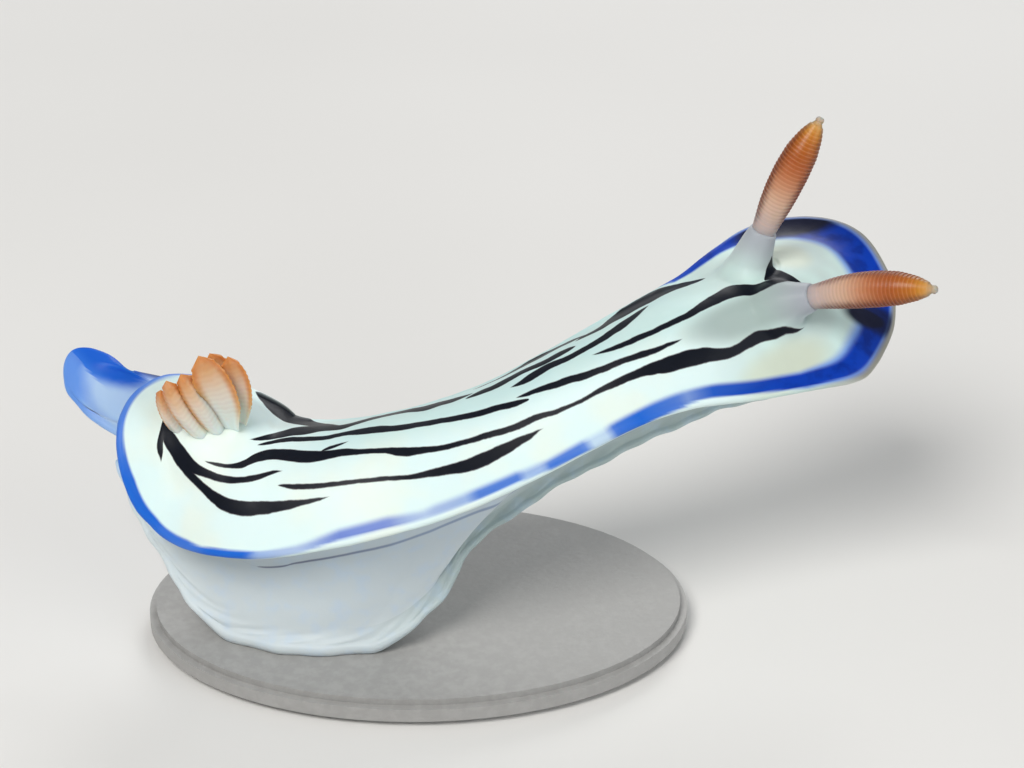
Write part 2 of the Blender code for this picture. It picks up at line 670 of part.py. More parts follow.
def main():
    clear_scene()
    skin = make_material("mantle_white", (0.80, 0.84, 0.82), 0.35)
    flesh = make_material("foot_flesh", (0.62, 0.68, 0.70), 0.4)
    orange = make_material("rhinophore_orange", (0.72, 0.30, 0.08), 0.4)
    gill = make_material("gill_orange", (0.75, 0.45, 0.22), 0.45)
    stand = make_material("stand", (0.25, 0.26, 0.27), 0.5)

    mantle = lengths(("mantle_rear", "mantle_middle", "mantle_neck", "mantle_front"),
                     solid_from_rings(mantle_rings()), MANTLE, MANTLE_CUTS, skin)
    fused("mantle_front", mantle["mantle_front"], [sheath(spec) for spec in RHINOPHORES.values()], skin)
    fused("mantle_rear", mantle["mantle_rear"], [gill_pocket()], skin)

    trunk_rings = core_rings()
    trunk = lengths(("body_middle", "body_neck", "head"),
                    solid_from_rings(trunk_rings), MANTLE, CORE_CUTS, flesh)
    head = fused("head", trunk["head"], [lips(trunk_rings)], flesh)
    fused("head", head, [mouth_slit(trunk_rings)], flesh, operation="DIFFERENCE")
    oral_tentacle("oral_tentacle_right", trunk_rings, 0, flesh)
    oral_tentacle("oral_tentacle_left", trunk_rings, 1, flesh)

    lengths(("tail", "foot_middle", "foot_front"),
            solid_from_rings(foot_rings()), FOOT, FOOT_CUTS, flesh)

    for name, spec in RHINOPHORES.items():
        rhinophore(name, spec, orange)
    gills(gill)
    stand_base(stand)


main()
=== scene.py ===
# %% [markdown]
# This lesson dresses a life-size model of a striped sea slug. Packed solids give its pose
# and size, in metres, and they stay where they are. Each step covers some of them with a
# finer piece, and then every surface gets its finish. We start by loading the solids, and
# we keep their box, so that at the end we can tell whether the finer pieces grew past it.

# %% Load the solids and keep their box
import math

import bpy
import numpy as np
from mathutils import Matrix, Vector, kdtree


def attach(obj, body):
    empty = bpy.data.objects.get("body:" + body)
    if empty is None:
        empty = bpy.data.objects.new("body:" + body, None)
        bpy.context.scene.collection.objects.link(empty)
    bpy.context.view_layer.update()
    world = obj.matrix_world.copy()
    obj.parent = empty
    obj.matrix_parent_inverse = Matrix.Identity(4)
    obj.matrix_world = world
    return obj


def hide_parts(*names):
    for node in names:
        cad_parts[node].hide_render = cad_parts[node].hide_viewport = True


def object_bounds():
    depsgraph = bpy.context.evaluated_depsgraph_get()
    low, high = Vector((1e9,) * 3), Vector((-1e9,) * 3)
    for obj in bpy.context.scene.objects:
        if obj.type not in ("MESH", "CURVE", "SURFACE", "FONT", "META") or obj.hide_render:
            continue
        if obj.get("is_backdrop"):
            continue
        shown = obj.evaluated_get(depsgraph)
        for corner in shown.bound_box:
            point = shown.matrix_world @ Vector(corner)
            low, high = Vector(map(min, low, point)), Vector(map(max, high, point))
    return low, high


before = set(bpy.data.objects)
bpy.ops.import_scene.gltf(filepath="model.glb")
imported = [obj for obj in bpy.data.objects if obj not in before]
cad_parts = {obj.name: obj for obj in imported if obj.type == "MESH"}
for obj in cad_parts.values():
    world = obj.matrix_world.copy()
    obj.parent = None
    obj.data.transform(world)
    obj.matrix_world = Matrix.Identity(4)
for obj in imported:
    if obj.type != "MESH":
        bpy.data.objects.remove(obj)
solid_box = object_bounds()
MM = 0.001
print("solids:", len(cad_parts))

# %% [markdown]
# The animal is built on two midlines. One runs along the middle of its back, the mantle,
# and the other along the middle of its sole, the foot. A midline is a smooth curve through
# a few stations, and at each station we also give the half width there and the roll, which
# is how far the back leans towards the viewer. The back's stations give the height of its
# dome as well. All the lists are in millimetres and degrees.

# %% Stations of the back and of the sole
# x, y, z, half width, height of the back's dome, roll
MANTLE_STATIONS = (
    (-15.6, 2.0, 9.3, 4.2, 1.3, 34),
    (-13.0, 1.7, 6.7, 4.0, 1.5, 33),
    (-9.9, 0.3, 6.2, 3.8, 1.7, 19),
    (-5.5, -0.1, 7.0, 3.7, 1.8, 9),
    (-0.8, 1.0, 8.1, 3.3, 1.6, 8),
    (4.8, 2.5, 10.5, 3.0, 1.4, 15),
    (8.7, 4.3, 11.0, 3.6, 1.9, 21),
    (13.0, 6.4, 11.7, 4.95, 1.7, 21),
    (16.3, 7.25, 11.5, 5.05, 1.3, 39),
)
# x, y, z, half width, roll
FOOT_STATIONS = (
    (-18.8, 6.5, 8.8, 0.8, 26),
    (-17.1, 4.7, 7.8, 1.5, 21),
    (-15.1, 4.5, 6.1, 2.4, 20),
    (-12.8, 2.2, 2.2, 2.6, 6),
    (-10.8, 0.7, 0.0, 2.9, 0),
    (-8.2, 0.1, 0.0, 3.1, 0),
    (-6.0, 0.2, 0.0, 3.0, 0),
    (-4.2, 0.6, 1.2, 2.8, 2),
    (-2.8, 1.1, 3.2, 2.4, 4),
    (-0.4, 1.7, 5.2, 2.1, 8),
    (3.2, 2.8, 7.0, 1.9, 12),
    (7.6, 4.6, 8.3, 1.8, 20),
    (11.8, 6.4, 8.7, 1.8, 26),
)
MODEL_SHIFT = np.array([1.09, -2.243, 1.5])   # from the tables to the model's own frame
print("stations of the back and of the sole:", len(MANTLE_STATIONS), len(FOOT_STATIONS))

# %% [markdown]
# Straight lines between the stations would show as kinks. A Catmull-Rom curve goes through
# every station and stays smooth, and it treats the widths and rolls just as it does the
# places. A midline then answers one question for us: at this distance along, where are we,
# and which ways are ahead, to the side and up? Where the sole rests it lies flat.

# %% Smooth midlines through the stations
SPINE_SAMPLES = 240
SOLE_FLAT_HEIGHT = 1.0                         # under this height the sole stops rolling


def smooth_line(stations, count):
    """A Catmull-Rom curve through the stations, as this many points."""
    keys = np.array(stations, dtype=float)
    keys = np.vstack([2 * keys[0] - keys[1], keys, 2 * keys[-1] - keys[-2]])
    place = np.linspace(0, len(stations) - 1, count)
    span = np.minimum(place.astype(int), len(stations) - 2)
    f = (place - span)[:, None]
    a, b, c, d = keys[span], keys[span + 1], keys[span + 2], keys[span + 3]
    return 0.5 * (2 * b + (c - a) * f + (2 * a - 5 * b + 4 * c - d) * f ** 2
                  + (3 * b - a - 3 * c + d) * f ** 3)


def unit(vectors):
    return vectors / np.linalg.norm(vectors, axis=-1, keepdims=True)


class Midline:
    def __init__(self, stations, on_floor=False):
        rows = smooth_line(stations, SPINE_SAMPLES)
        if on_floor:
            rows[:, 2] = np.maximum(rows[:, 2], 0.0)
            rows[:, -1] *= np.minimum(rows[:, 2] / SOLE_FLAT_HEIGHT, 1.0)
        steps = np.linalg.norm(np.diff(rows[:, :3], axis=0), axis=1)
        self.rows = rows
        self.places = np.concatenate([[0.0], np.cumsum(steps)])
        self.length = self.places[-1]
        self.forward = unit(np.gradient(rows[:, :3], axis=0))

    def at(self, places):
        """Stations, and the directions ahead, to the viewer and up, at these distances."""
        places = np.atleast_1d(places)
        rows = np.stack([np.interp(places, self.places, column) for column in self.rows.T], -1)
        ahead = unit(np.stack([np.interp(places, self.places, column) for column in self.forward.T], -1))
        side = unit(np.cross(ahead, [0.0, 0.0, 1.0]))
        up = np.cross(side, ahead)
        roll = np.radians(rows[:, -1])[:, None]
        return rows, ahead, side * np.cos(roll) - up * np.sin(roll), up * np.cos(roll) + side * np.sin(roll)


BACK = Midline(MANTLE_STATIONS)
SOLE = Midline(FOOT_STATIONS, on_floor=True)
print(f"back {BACK.length:.1f} mm, sole {SOLE.length:.1f} mm")

# %% [markdown]
# On the real animal the whole body is one moist skin, with no seam where the mantle, the
# flanks and the foot meet. No operator of Blender bends a sheet along two curves at once,
# so we take a plain grid and give each of its rows a loop round the body: the rows start
# at the middle of the back, go over the margin, under it, down the flank and under the
# foot. First come the sizes that all these rows share.

# %% Sizes of the skin
LIP = 0.225                  # half the thickness of the mantle's free margin
REAR_ROUND, FRONT_ROUND = 6.2, 5.25
DOME_POWERS, HEAD_SPAN = (1.15, 2.1), (25.5, 30.0)   # the head's margin flares out to a flat veil
BODY_REAR, BODY_FRONT, BODY_SHARE = 1.2, 1.6, 0.76
BODY_ON_SOLE_REAR, BODY_ON_SOLE_FRONT, BODY_ON_SOLE_SHARE = 4.8, 0.5, 0.84
BODY_ROUND = 2.6
WAIST, SNOUT_BULGE, SNOUT_REACH = 0.10, 0.55, 3.0
FOOT_TOP, FOOT_LIP = 0.7, 0.17
FOOT_REAR_ROUND, FOOT_FRONT_ROUND = 1.35, 2.0
TAIL_CREST, TAIL_CREST_PLACE, TAIL_CREST_REACH = 0.15, 2.6, 1.6   # the low ridge on top of the tail
FOOT_WAVES = ((0.05, 1.7, 0.0), (0.035, 4.1, 1.0))                # height, pace and start of each wave
DOME_ROWS, LIP_ROWS, UNDER_ROWS, FLANK_ROWS, LEDGE_ROWS, FOOT_ROWS, SOLE_ROWS = 68, 7, 4, 32, 12, 6, 4
print("edge of the mantle and of the foot, mm thick:", 2 * LIP, 2 * FOOT_LIP)

# %% [markdown]
# Columns cross the body from side to side. Evenly spaced ones would waste faces on the
# plain middle, so they sit closer together at both ends, at the head and round the gills.
# Three helpers then place them: one spreads the columns over a length, one closes a shape
# to a point at both ends, and one gives the points on both sides of a midline.

# %% Columns of the skin
COLUMNS = 350
HEAD_SHARE, HEAD_CROWD = 0.85, 1.1
GILL_SHARE, GILL_CROWD = 0.135, 0.8
CROWD_REACH = 0.07
WALK_STEPS = 4000

walk = (1 - np.cos(np.pi * np.linspace(0, 1, WALK_STEPS + 1))) / 2
crowd = (1 + HEAD_CROWD * np.exp(-((walk - HEAD_SHARE) / CROWD_REACH) ** 2)
         + GILL_CROWD * np.exp(-((walk - GILL_SHARE) / CROWD_REACH) ** 2))
filled = np.cumsum(crowd) - crowd[0]
SHARES = np.interp(np.linspace(0, 1, COLUMNS + 1), filled / filled[-1], walk)


def spread(start, end):
    """The columns' places between a start and an end."""
    return start + (end - start) * SHARES


def closing(places, rear, front):
    """1 along the middle, falling to 0 at both ends as the outline of an ellipse does."""
    back = np.clip(1 - (places - places[0]) / rear, 0, 1)
    ahead = np.clip(1 - (places[-1] - places) / front, 0, 1)
    return np.sqrt(np.clip(1 - back ** 2, 0, 1)) * np.sqrt(np.clip(1 - ahead ** 2, 0, 1))


def loop(line, places, half_width, height):
    """Points on the near side and on the far side of a midline."""
    rows, ahead, side, up = line.at(places)
    middle = rows[:, :3] + up * np.broadcast_to(height, places.shape)[:, None]
    return np.stack([middle + side * half_width[:, None], middle - side * half_width[:, None]])


print("columns and closest step:", COLUMNS, round(float(np.diff(SHARES).min()), 6))

# %% [markdown]
# Now the rows themselves, first those of the back, which is a low dome that ends in a thin
# rounded lip. Besides its points, each row notes where it is: the distance along the back,
# the distance across it, and how far down the flank it lies. The finish reads these notes
# later, so that the stripes follow the skin wherever it bends.

# %% Rows of the back and of its margin
rows = []
mantle_places = spread(LIP, BACK.length - LIP)
mantle_close = closing(mantle_places, REAR_ROUND, FRONT_ROUND)
mantle_width = (BACK.at(mantle_places)[0][:, 3] - LIP) * mantle_close


def dome(places, heights, close, t):
    """Height of the back over its margin; t is 0 on the midline and 1 at the margin."""
    return heights * (close ** 2 * (1 - t * t)) ** np.interp(places, HEAD_SPAN, DOME_POWERS)


def add_row(points, along, across, top=0.0, flank=2.0, foot=0.0):
    rows.append({"points": points, "along": along, "across": across,
                 "top": top, "flank": flank, "foot": foot})


dome_heights = BACK.at(mantle_places)[0][:, 4]
for t in np.linspace(0, 1, DOME_ROWS + 1):
    height = dome(mantle_places, dome_heights, mantle_close, t)
    add_row(loop(BACK, mantle_places, t * mantle_width, height), mantle_places, t * mantle_width,
            top=1.0, flank=-1.0)

for angle in np.linspace(math.pi / 2, -math.pi / 2, LIP_ROWS + 1)[1:]:
    inset = LIP * (1 - math.cos(angle))
    places = spread(inset, BACK.length - inset)
    width = (BACK.at(places)[0][:, 3] - inset) * closing(places, REAR_ROUND, FRONT_ROUND)
    add_row(loop(BACK, places, width, LIP * (math.sin(angle) - 1)), places,
            mantle_width + LIP * (math.pi / 2 - angle), top=max(math.sin(angle), 0.0), flank=-0.5)
print("rows so far:", len(rows))

# %% [markdown]
# The flank joins two loops: one under the mantle, set in from its margin, and one on top
# of the foot. Between them the body is drawn in to a slight waist, and at the front the
# snout bulges forwards under the head's veil.

# %% Rows of the underside and of the flank
body_places = spread(BODY_REAR, BACK.length - BODY_FRONT)
body_width = BODY_SHARE * BACK.at(body_places)[0][:, 3] * closing(body_places, BODY_ROUND, BODY_ROUND)
for w in np.linspace(0, 1, UNDER_ROWS + 1)[1:-1]:
    places = (1 - w) * mantle_places + w * body_places
    width = (1 - w) * mantle_width + w * body_width
    add_row(loop(BACK, places, width, -2 * LIP), places, width + 1.0, flank=-0.3)

body_top = loop(BACK, body_places, body_width, -2 * LIP)
base_places = spread(BODY_ON_SOLE_REAR, SOLE.length - BODY_ON_SOLE_FRONT)
base_width = BODY_ON_SOLE_SHARE * SOLE.at(base_places)[0][:, 3] * closing(base_places, BODY_ROUND, BODY_ROUND)
body_bottom = loop(SOLE, base_places, base_width, FOOT_TOP)
snout = np.clip(1 - (body_places[-1] - body_places) / SNOUT_REACH, 0, 1) ** 2
body_ahead = BACK.at(body_places)[1]


def flank_points(v):
    """Points on both sides at this share of the way down the flank."""
    sides = (1 - v) * body_top + v * body_bottom
    bulge = math.sin(math.pi * v)
    middle = sides.mean(axis=0)
    return sides + (middle - sides) * WAIST * bulge + body_ahead * (SNOUT_BULGE * bulge * snout)[:, None]


for v in np.linspace(0, 1, FLANK_ROWS + 1):
    add_row(flank_points(v), body_places, body_width + 2.0, flank=v)
print("rows so far:", len(rows))

# %% [markdown]
# Last come the rows of the foot. They run out over its top, where a low ridge follows the
# tail, round its thin edge, which waves in and out a little as a slug's does, and back to
# the middle of the flat sole.

# %% Rows of the foot and of the sole
def foot_half_width(places, inset):
    """Half width of the foot at these places, less an inset from its waved edge."""
    close = closing(places, FOOT_REAR_ROUND, FOOT_FRONT_ROUND)
    waves = sum(height * np.sin(places * pace + start) for height, pace, start in FOOT_WAVES)
    return (SOLE.at(places)[0][:, 3] + waves - inset) * close


foot_places = spread(FOOT_LIP, SOLE.length - FOOT_LIP)
foot_width = foot_half_width(foot_places, FOOT_LIP)
for w in np.linspace(0, 1, LEDGE_ROWS + 1)[1:]:
    places = (1 - w) * base_places + w * foot_places
    width = (1 - w) * base_width + w * foot_width
    crest = TAIL_CREST * np.exp(-((places - TAIL_CREST_PLACE) / TAIL_CREST_REACH) ** 2) * (1 - w * w)
    height = FOOT_TOP + (2 * FOOT_LIP - FOOT_TOP) * w + crest
    add_row(loop(SOLE, places, width, height), places, width, foot=1.0)

for angle in np.linspace(math.pi / 2, -math.pi / 2, FOOT_ROWS + 1)[1:]:
    inset = FOOT_LIP * (1 - math.cos(angle))
    places = spread(inset, SOLE.length - inset)
    height = FOOT_LIP * (1 + math.sin(angle))
    add_row(loop(SOLE, places, foot_half_width(places, inset), height), places, foot_width, foot=1.0)

for w in np.linspace(1, 0, SOLE_ROWS + 1)[1:]:
    add_row(loop(SOLE, foot_places, foot_width * w, 0.0), foot_places, foot_width * w, foot=1.0)

print("rows on each side:", len(rows))

# %% [markdown]
# Where the flank meets the mantle above and the foot below, real flesh runs round the
# corner in a soft fold. Averaging each row there with its two neighbours a few times
# gives that fold. The head's near corner is rounded in the same way, from column to
# column. The sole then sinks the last three tenths of a millimetre onto the stand.

# %% Soften the folds and settle the sole
under_fold = DOME_ROWS + LIP_ROWS + UNDER_ROWS
foot_fold = under_fold + FLANK_ROWS
FOLDS = ((under_fold, 5, 8), (foot_fold, 8, 24))   # row, rows softened on each side of it, rounds
CORNER_PLACE, CORNER_REACH, CORNER_REPEATS = 32.2, 2.6, 420
CORNER_ROWS = (0, 20, 50, DOME_ROWS + LIP_ROWS, under_fold)
CORNER_SHARES = (0.0, 0.1, 1.0, 1.0, 0.0)          # how much of the rounding each of these rows gets
SETTLING_HEIGHT = 0.9                              # over this height the skin stays where it is
SOLE_DROP = 0.3


def soft_step(x):
    """0 up to 0, 1 from 1 on, and a smooth rise between."""
    x = np.clip(x, 0, 1)
    return x * x * (3 - 2 * x)


def round_corner(values, strength):
    """Moves each column's values towards its neighbours' average, many times, by this strength."""
    for repeat in range(CORNER_REPEATS):
        middle = 0.25 * (values[:, :-2] + 2 * values[:, 1:-1] + values[:, 2:])
        values[:, 1:-1] += strength * (middle - values[:, 1:-1])


points = np.stack([row["points"] for row in rows])
for fold, reach, repeats in FOLDS:
    for repeat in range(repeats):
        softened = slice(fold - reach, fold + reach + 1)
        before = points[fold - reach - 1:fold + reach]
        after = points[fold - reach + 1:fold + reach + 2]
        points[softened] = 0.5 * points[softened] + 0.25 * (before + after)
corner = soft_step(1.3 - np.abs(mantle_places - CORNER_PLACE) / CORNER_REACH)
row_share = np.interp(np.arange(under_fold), CORNER_ROWS, CORNER_SHARES)
round_corner(points[:under_fold, 0], (row_share[:, None] * corner)[:, 1:-1, None])
low = np.clip(1 - points[..., 2] / SETTLING_HEIGHT, 0, 1) ** 2
points[..., 2] -= SOLE_DROP * low
print("lowest point of the skin above the stand's top:", round(float(points[..., 2].min() + SOLE_DROP), 3))

# %% [markdown]
# The two feelers on the head, called rhinophores, stand in raised collars of skin, and
# the gills stand on a low mound. Both are part of the same skin. Before we draw the skin
# up round them, we work out where each root is and which way each feeler points, from
# distances along and across the back.

# %% Roots of the feelers and of the gills
# root: along and across the back; reach and bend: ahead, to the near side and up; collar: height
RHINOPHORES = {
    "rhinophore_left": {"root": (29.5, -1.65), "reach": (3.7, -1.4, 5.9), "bend": (-0.25, 0.05, 0.2),
                        "collar": 1.8},
    "rhinophore_right": {"root": (29.45, 0.95), "reach": (4.15, 4.3, 3.2), "bend": (0.05, -0.15, 0.25),
                         "collar": 1.4},
}
GILL_ROOT = (4.4, -0.7)
GILL_LEAN = (-0.5, 0.0, 0.86)
STRIPE_INSET = 0.12          # the stripes' shares are of the half width less this


def on_back(along, across):
    """A point on the back, in table millimetres, and the directions ahead, side and up."""
    station, ahead, side, up = [row[0] for row in BACK.at(along)]
    close = closing(np.array([0.0, along, BACK.length]), REAR_ROUND, FRONT_ROUND)[1]
    t = across / ((station[3] - STRIPE_INSET) * close)
    height = dome(along, station[4], close, t)
    return station[:3] + side * across + up * height, np.stack([ahead, side, up])


def bent(root, tip, bend, share):
    """Points on the curve from root to tip that bows out by bend halfway."""
    share = np.atleast_1d(share)[..., None]
    return root * (1 - share) + tip * share + bend * (4 * share * (1 - share))


feelers = {}
for name, spec in RHINOPHORES.items():
    root, directions = on_back(*spec["root"])
    feelers[name] = {"root": root, "tip": root + np.array(spec["reach"]) @ directions, "up": directions[2],
                     "bend": np.array(spec["bend"]) @ directions, "collar": spec["collar"]}
gill_root, gill_directions = on_back(*GILL_ROOT)
gill_lean = unit(np.array(GILL_LEAN) @ gill_directions)
for name, feeler in feelers.items():
    feeler["length"] = float(np.linalg.norm(feeler["tip"] - feeler["root"]))
    print(name, "is", round(feeler["length"], 2), "mm long")

# %% [markdown]
# Round each root we take a disc of the back and draw it up over a profile: out at the
# disc's edge nothing moves, then the skin rises. A collar's skin turns over at a rim and
# goes down inside it, and the mound's only swells.

# %% Draw up the collars and the mound
# share of the way in from the disc's edge to its middle, radius in mm, share of the height
COLLAR_PROFILE = (
    (0.0, 1.5, 0.0), (0.2, 1.2, 0.04), (0.38, 0.94, 0.2), (0.55, 0.75, 0.52), (0.7, 0.62, 0.86),
    (0.77, 0.57, 0.98), (0.81, 0.52, 1.0), (0.85, 0.47, 0.97), (0.92, 0.42, 0.85), (1.0, 0.0, 0.8))
MOUND_PROFILE = (
    (0.0, 2.9, 0.0), (0.2, 2.32, 0.2), (0.38, 1.8, 0.6), (0.55, 1.35, 0.95), (0.75, 0.8, 1.2),
    (1.0, 0.0, 1.3))
MOUND_HEIGHT = 0.5
JOINED, TURNED, LEVELLED = 0.3, 0.6, 0.7   # shares of the way in by which the skin has done so
DISC_DEPTH = 1.6                           # skin farther above or below the root is left alone
SMALLEST = 0.000001                        # keeps a length that we divide by over 0


def looked_up(table, values, column=1):
    """Reads a column of a table, in between its rows too, at these values of the first column."""
    keys = np.array(table)
    return np.interp(values, keys[:, 0], keys[:, column])


def drawn_up(points, mask, root, up, tip, bend, height, profile):
    """Draws a disc of skin up along a feeler's axis; returns how far in each point lay as well."""
    away = points - root
    above = away @ up
    flat = away - above[..., None] * up
    radial = np.linalg.norm(flat, axis=-1)
    spoke = flat / np.maximum(radial, SMALLEST)[..., None]
    share = np.clip(1 - radial / profile[0][1], 0, 1) * mask * (np.abs(above) < DISC_DEPTH)
    rise = looked_up(profile, share, 2) * height / np.linalg.norm(tip - root)
    centre = bent(root, tip, bend, rise)
    axis = unit(tip - root + 2 * bend)
    turned = spoke - (spoke @ axis)[..., None] * axis * soft_step(share / TURNED)[..., None]
    drawn = centre + unit(turned) * looked_up(profile, share)[..., None]
    drawn = drawn + up * (above * (1 - soft_step(share / LEVELLED)))[..., None]
    belongs = soft_step(share / JOINED)[..., None]
    return points * (1 - belongs) + drawn * belongs, share


on_top = np.zeros(points.shape[:3])
on_top[:DOME_ROWS + 1] = 1.0
veil = np.zeros(points.shape[:3])
for feeler in feelers.values():
    points, share = drawn_up(points, on_top, feeler["root"], feeler["up"], feeler["tip"], feeler["bend"],
                             feeler["collar"], COLLAR_PROFILE)
    veil = np.maximum(veil, share)
points, mound = drawn_up(points, on_top, gill_root, gill_directions[2], gill_root + gill_directions[2],
                         np.zeros(3), MOUND_HEIGHT, MOUND_PROFILE)
print("points in the collars and in the mound:", int((veil > 0).sum()), int((mound > 0).sum()))

# %% [markdown]
# The mouth is a short slit low on the snout, inside a pair of soft lips. We find the
# middle of the snout, and push the skin out along an oval for the lips and in along the
# oval's long axis for the slit.

# %% Mouth and lips
MOUTH_SHARE = 0.99893        # share of the body's length at which the mouth sits
MOUTH_HALF_WIDTH, MOUTH_HALF_HEIGHT, MOUTH_DEPTH = 0.55, 0.09, 0.32
LIP_HALF_WIDTH, LIP_HALF_HEIGHT, LIP_SWELL, LIP_SOFTNESS = 0.72, 0.3, 0.14, 0.5
SNOUT_DEPTH = 0.9            # skin farther in front of or behind the mouth is left alone

mouth_column = int(np.argmin(np.abs(SHARES - MOUTH_SHARE)))
near_point, far_point = flank_points(0.5)[:, mouth_column]
mouth_centre = (near_point + far_point) / 2
mouth_across = unit(near_point - far_point)
mouth_down = unit((flank_points(0.65) - flank_points(0.35))[:, mouth_column].mean(axis=0))
mouth_out = unit(np.cross(mouth_across, mouth_down))
if mouth_out @ BACK.at(BACK.length)[1][0] < 0:
    mouth_out = -mouth_out
away = points - mouth_centre
x = away @ mouth_across
y = away @ mouth_down
oval = np.sqrt((x / LIP_HALF_WIDTH) ** 2 + (y / LIP_HALF_HEIGHT) ** 2)
on_flank = np.zeros(points.shape[:3])
on_flank[under_fold:foot_fold + 1] = 1.0
close_by = on_flank * (np.abs(away @ mouth_out) < SNOUT_DEPTH)
swell = LIP_SWELL * np.exp(-((oval - 1) / LIP_SOFTNESS) ** 2) * close_by
slit = MOUTH_DEPTH * np.exp(-(y / MOUTH_HALF_HEIGHT) ** 2) * np.exp(-(x / MOUTH_HALF_WIDTH) ** 4) * close_by
points = points + (swell - slit)[..., None] * mouth_out
print("deepest point of the mouth:", round(float(slit.max()), 2), "mm")

# %% [markdown]
# The blue margin, the dark marks and the tail's colours follow the edge of the mantle and
# of the foot. So for each point we look up the nearest point of the edge: its distance,
# and where along the edge it is. A k-d tree does this quickly.

# %% Distance to the edges
EDGE_POINTS = 900            # on each side


def edge_of(line, rear, front):
    """Places along a midline, and the points of the edge on both sides there."""
    places = line.length * (1 - np.cos(np.pi * np.linspace(0, 1, EDGE_POINTS))) / 2
    width = line.at(places)[0][:, 3] * closing(places, rear, front)
    return places, loop(line, places, width, 0.0)


def nearest_on_edge(points, line, rear, front):
    """Distance to the edge in mm, place along it, and side: 1 near, -1 far."""
    places, sides = edge_of(line, rear, front)
    tree = kdtree.KDTree(2 * len(places))
    for side in (0, 1):
        for number, point in enumerate(sides[side]):
            tree.insert(point, side * len(places) + number)
    tree.balance()
    found = [tree.find(point) for point in points]
    index = np.array([number for point, number, distance in found])
    distances = np.array([distance for point, number, distance in found])
    return distances, places[index % len(places)], np.where(index < len(places), 1.0, -1.0)


shares = np.linspace(0, 1, DOME_ROWS + 1)
flat_dome = np.stack([loop(BACK, mantle_places, t * mantle_width, 0.0) for t in shares])
found = nearest_on_edge(flat_dome.reshape(-1, 3), BACK, REAR_ROUND, FRONT_ROUND)
dome_edge = [part.reshape(flat_dome.shape[:3]) for part in found]
margin = np.full(points.shape[:3], -1.0)
edge_place = np.zeros(points.shape[:3])
edge_side = np.ones(points.shape[:3])
margin[:DOME_ROWS + 1], edge_place[:DOME_ROWS + 1], edge_side[:DOME_ROWS + 1] = dome_edge
for row in range(DOME_ROWS + 1, DOME_ROWS + LIP_ROWS + 1):
    margin[row] = margin[DOME_ROWS] - LIP * math.pi * (row - DOME_ROWS) / LIP_ROWS
    edge_place[row] = edge_place[DOME_ROWS]
    edge_side[row] = edge_side[DOME_ROWS]
round_corner(margin[:, 0], corner[1:-1])
tail_points = points[foot_fold + 1:]
tail_edge, tail_place, tail_side = [part.reshape(tail_points.shape[:3]) for part in nearest_on_edge(
    tail_points.reshape(-1, 3), SOLE, FOOT_REAR_ROUND, FOOT_FRONT_ROUND)]
print("widest point of the back is", round(float(margin.max()), 2), "mm from the edge")

# %% [markdown]
# The margin is deep blue round the head, a thin blue line round the rear, and a row of
# longer and shorter blue dashes between them. The next lists give, at places along the
# near edge and the far edge, how far in the blue starts and ends, and how strong it is.

# %% The blue margin
# place along the back, where the blue begins, where it ends, width of its soft edge, strength
NEAR_BLUE = (
    (0.0, -0.4, 0.16, 0.1, 0.9), (1.0, -0.4, 0.28, 0.12, 0.95), (2.0, -0.35, 0.4, 0.12, 1.0),
    (3.5, -0.3, 0.38, 0.12, 1.0), (5.4, -0.3, 0.32, 0.12, 0.95), (6.0, -0.35, 0.2, 0.12, 0.95),
    (6.3, -0.35, 0.24, 0.1, 1.0), (7.3, -0.35, 0.2, 0.1, 1.0), (7.6, -0.3, 0.16, 0.14, 0.6),
    (8.9, -0.12, 0.24, 0.24, 0.5), (9.6, 0.0, 0.36, 0.26, 0.7), (10.3, 0.12, 0.48, 0.26, 0.9),
    (11.9, 0.15, 0.52, 0.26, 0.85), (12.4, 0.12, 0.46, 0.26, 0.6), (13.0, 0.1, 0.4, 0.28, 0.45),
    (13.5, 0.1, 0.46, 0.26, 0.55), (14.6, 0.1, 0.46, 0.26, 0.55), (15.1, 0.08, 0.46, 0.24, 0.9),
    (16.9, 0.05, 0.42, 0.24, 0.9), (17.2, 0.0, 0.38, 0.26, 0.55), (17.9, -0.06, 0.34, 0.26, 0.55),
    (18.2, -0.1, 0.3, 0.24, 0.95), (19.7, -0.15, 0.34, 0.24, 0.9), (20.1, -0.2, 0.34, 0.28, 0.3),
    (20.7, -0.2, 0.34, 0.28, 0.3), (21.1, -0.22, 0.4, 0.24, 0.95), (22.2, -0.25, 0.44, 0.22, 1.0),
    (23.8, -0.02, 0.54, 0.22, 0.9), (24.2, 0.1, 0.56, 0.22, 0.75), (24.7, 0.18, 0.58, 0.2, 0.9),
    (25.2, 0.2, 0.6, 0.18, 1.0), (27.2, 0.14, 0.66, 0.2, 1.0), (28.8, 0.0, 0.7, 0.25, 1.0),
    (30.5, 0.1, 1.0, 0.5, 1.0), (32.0, 0.2, 1.25, 0.7, 1.0), (33.3, 0.28, 1.45, 0.75, 1.0),
    (34.4, 0.32, 1.5, 0.8, 1.0), (35.1, 0.32, 1.75, 0.8, 1.0), (35.5, 0.3, 2.05, 0.8, 1.0),
)
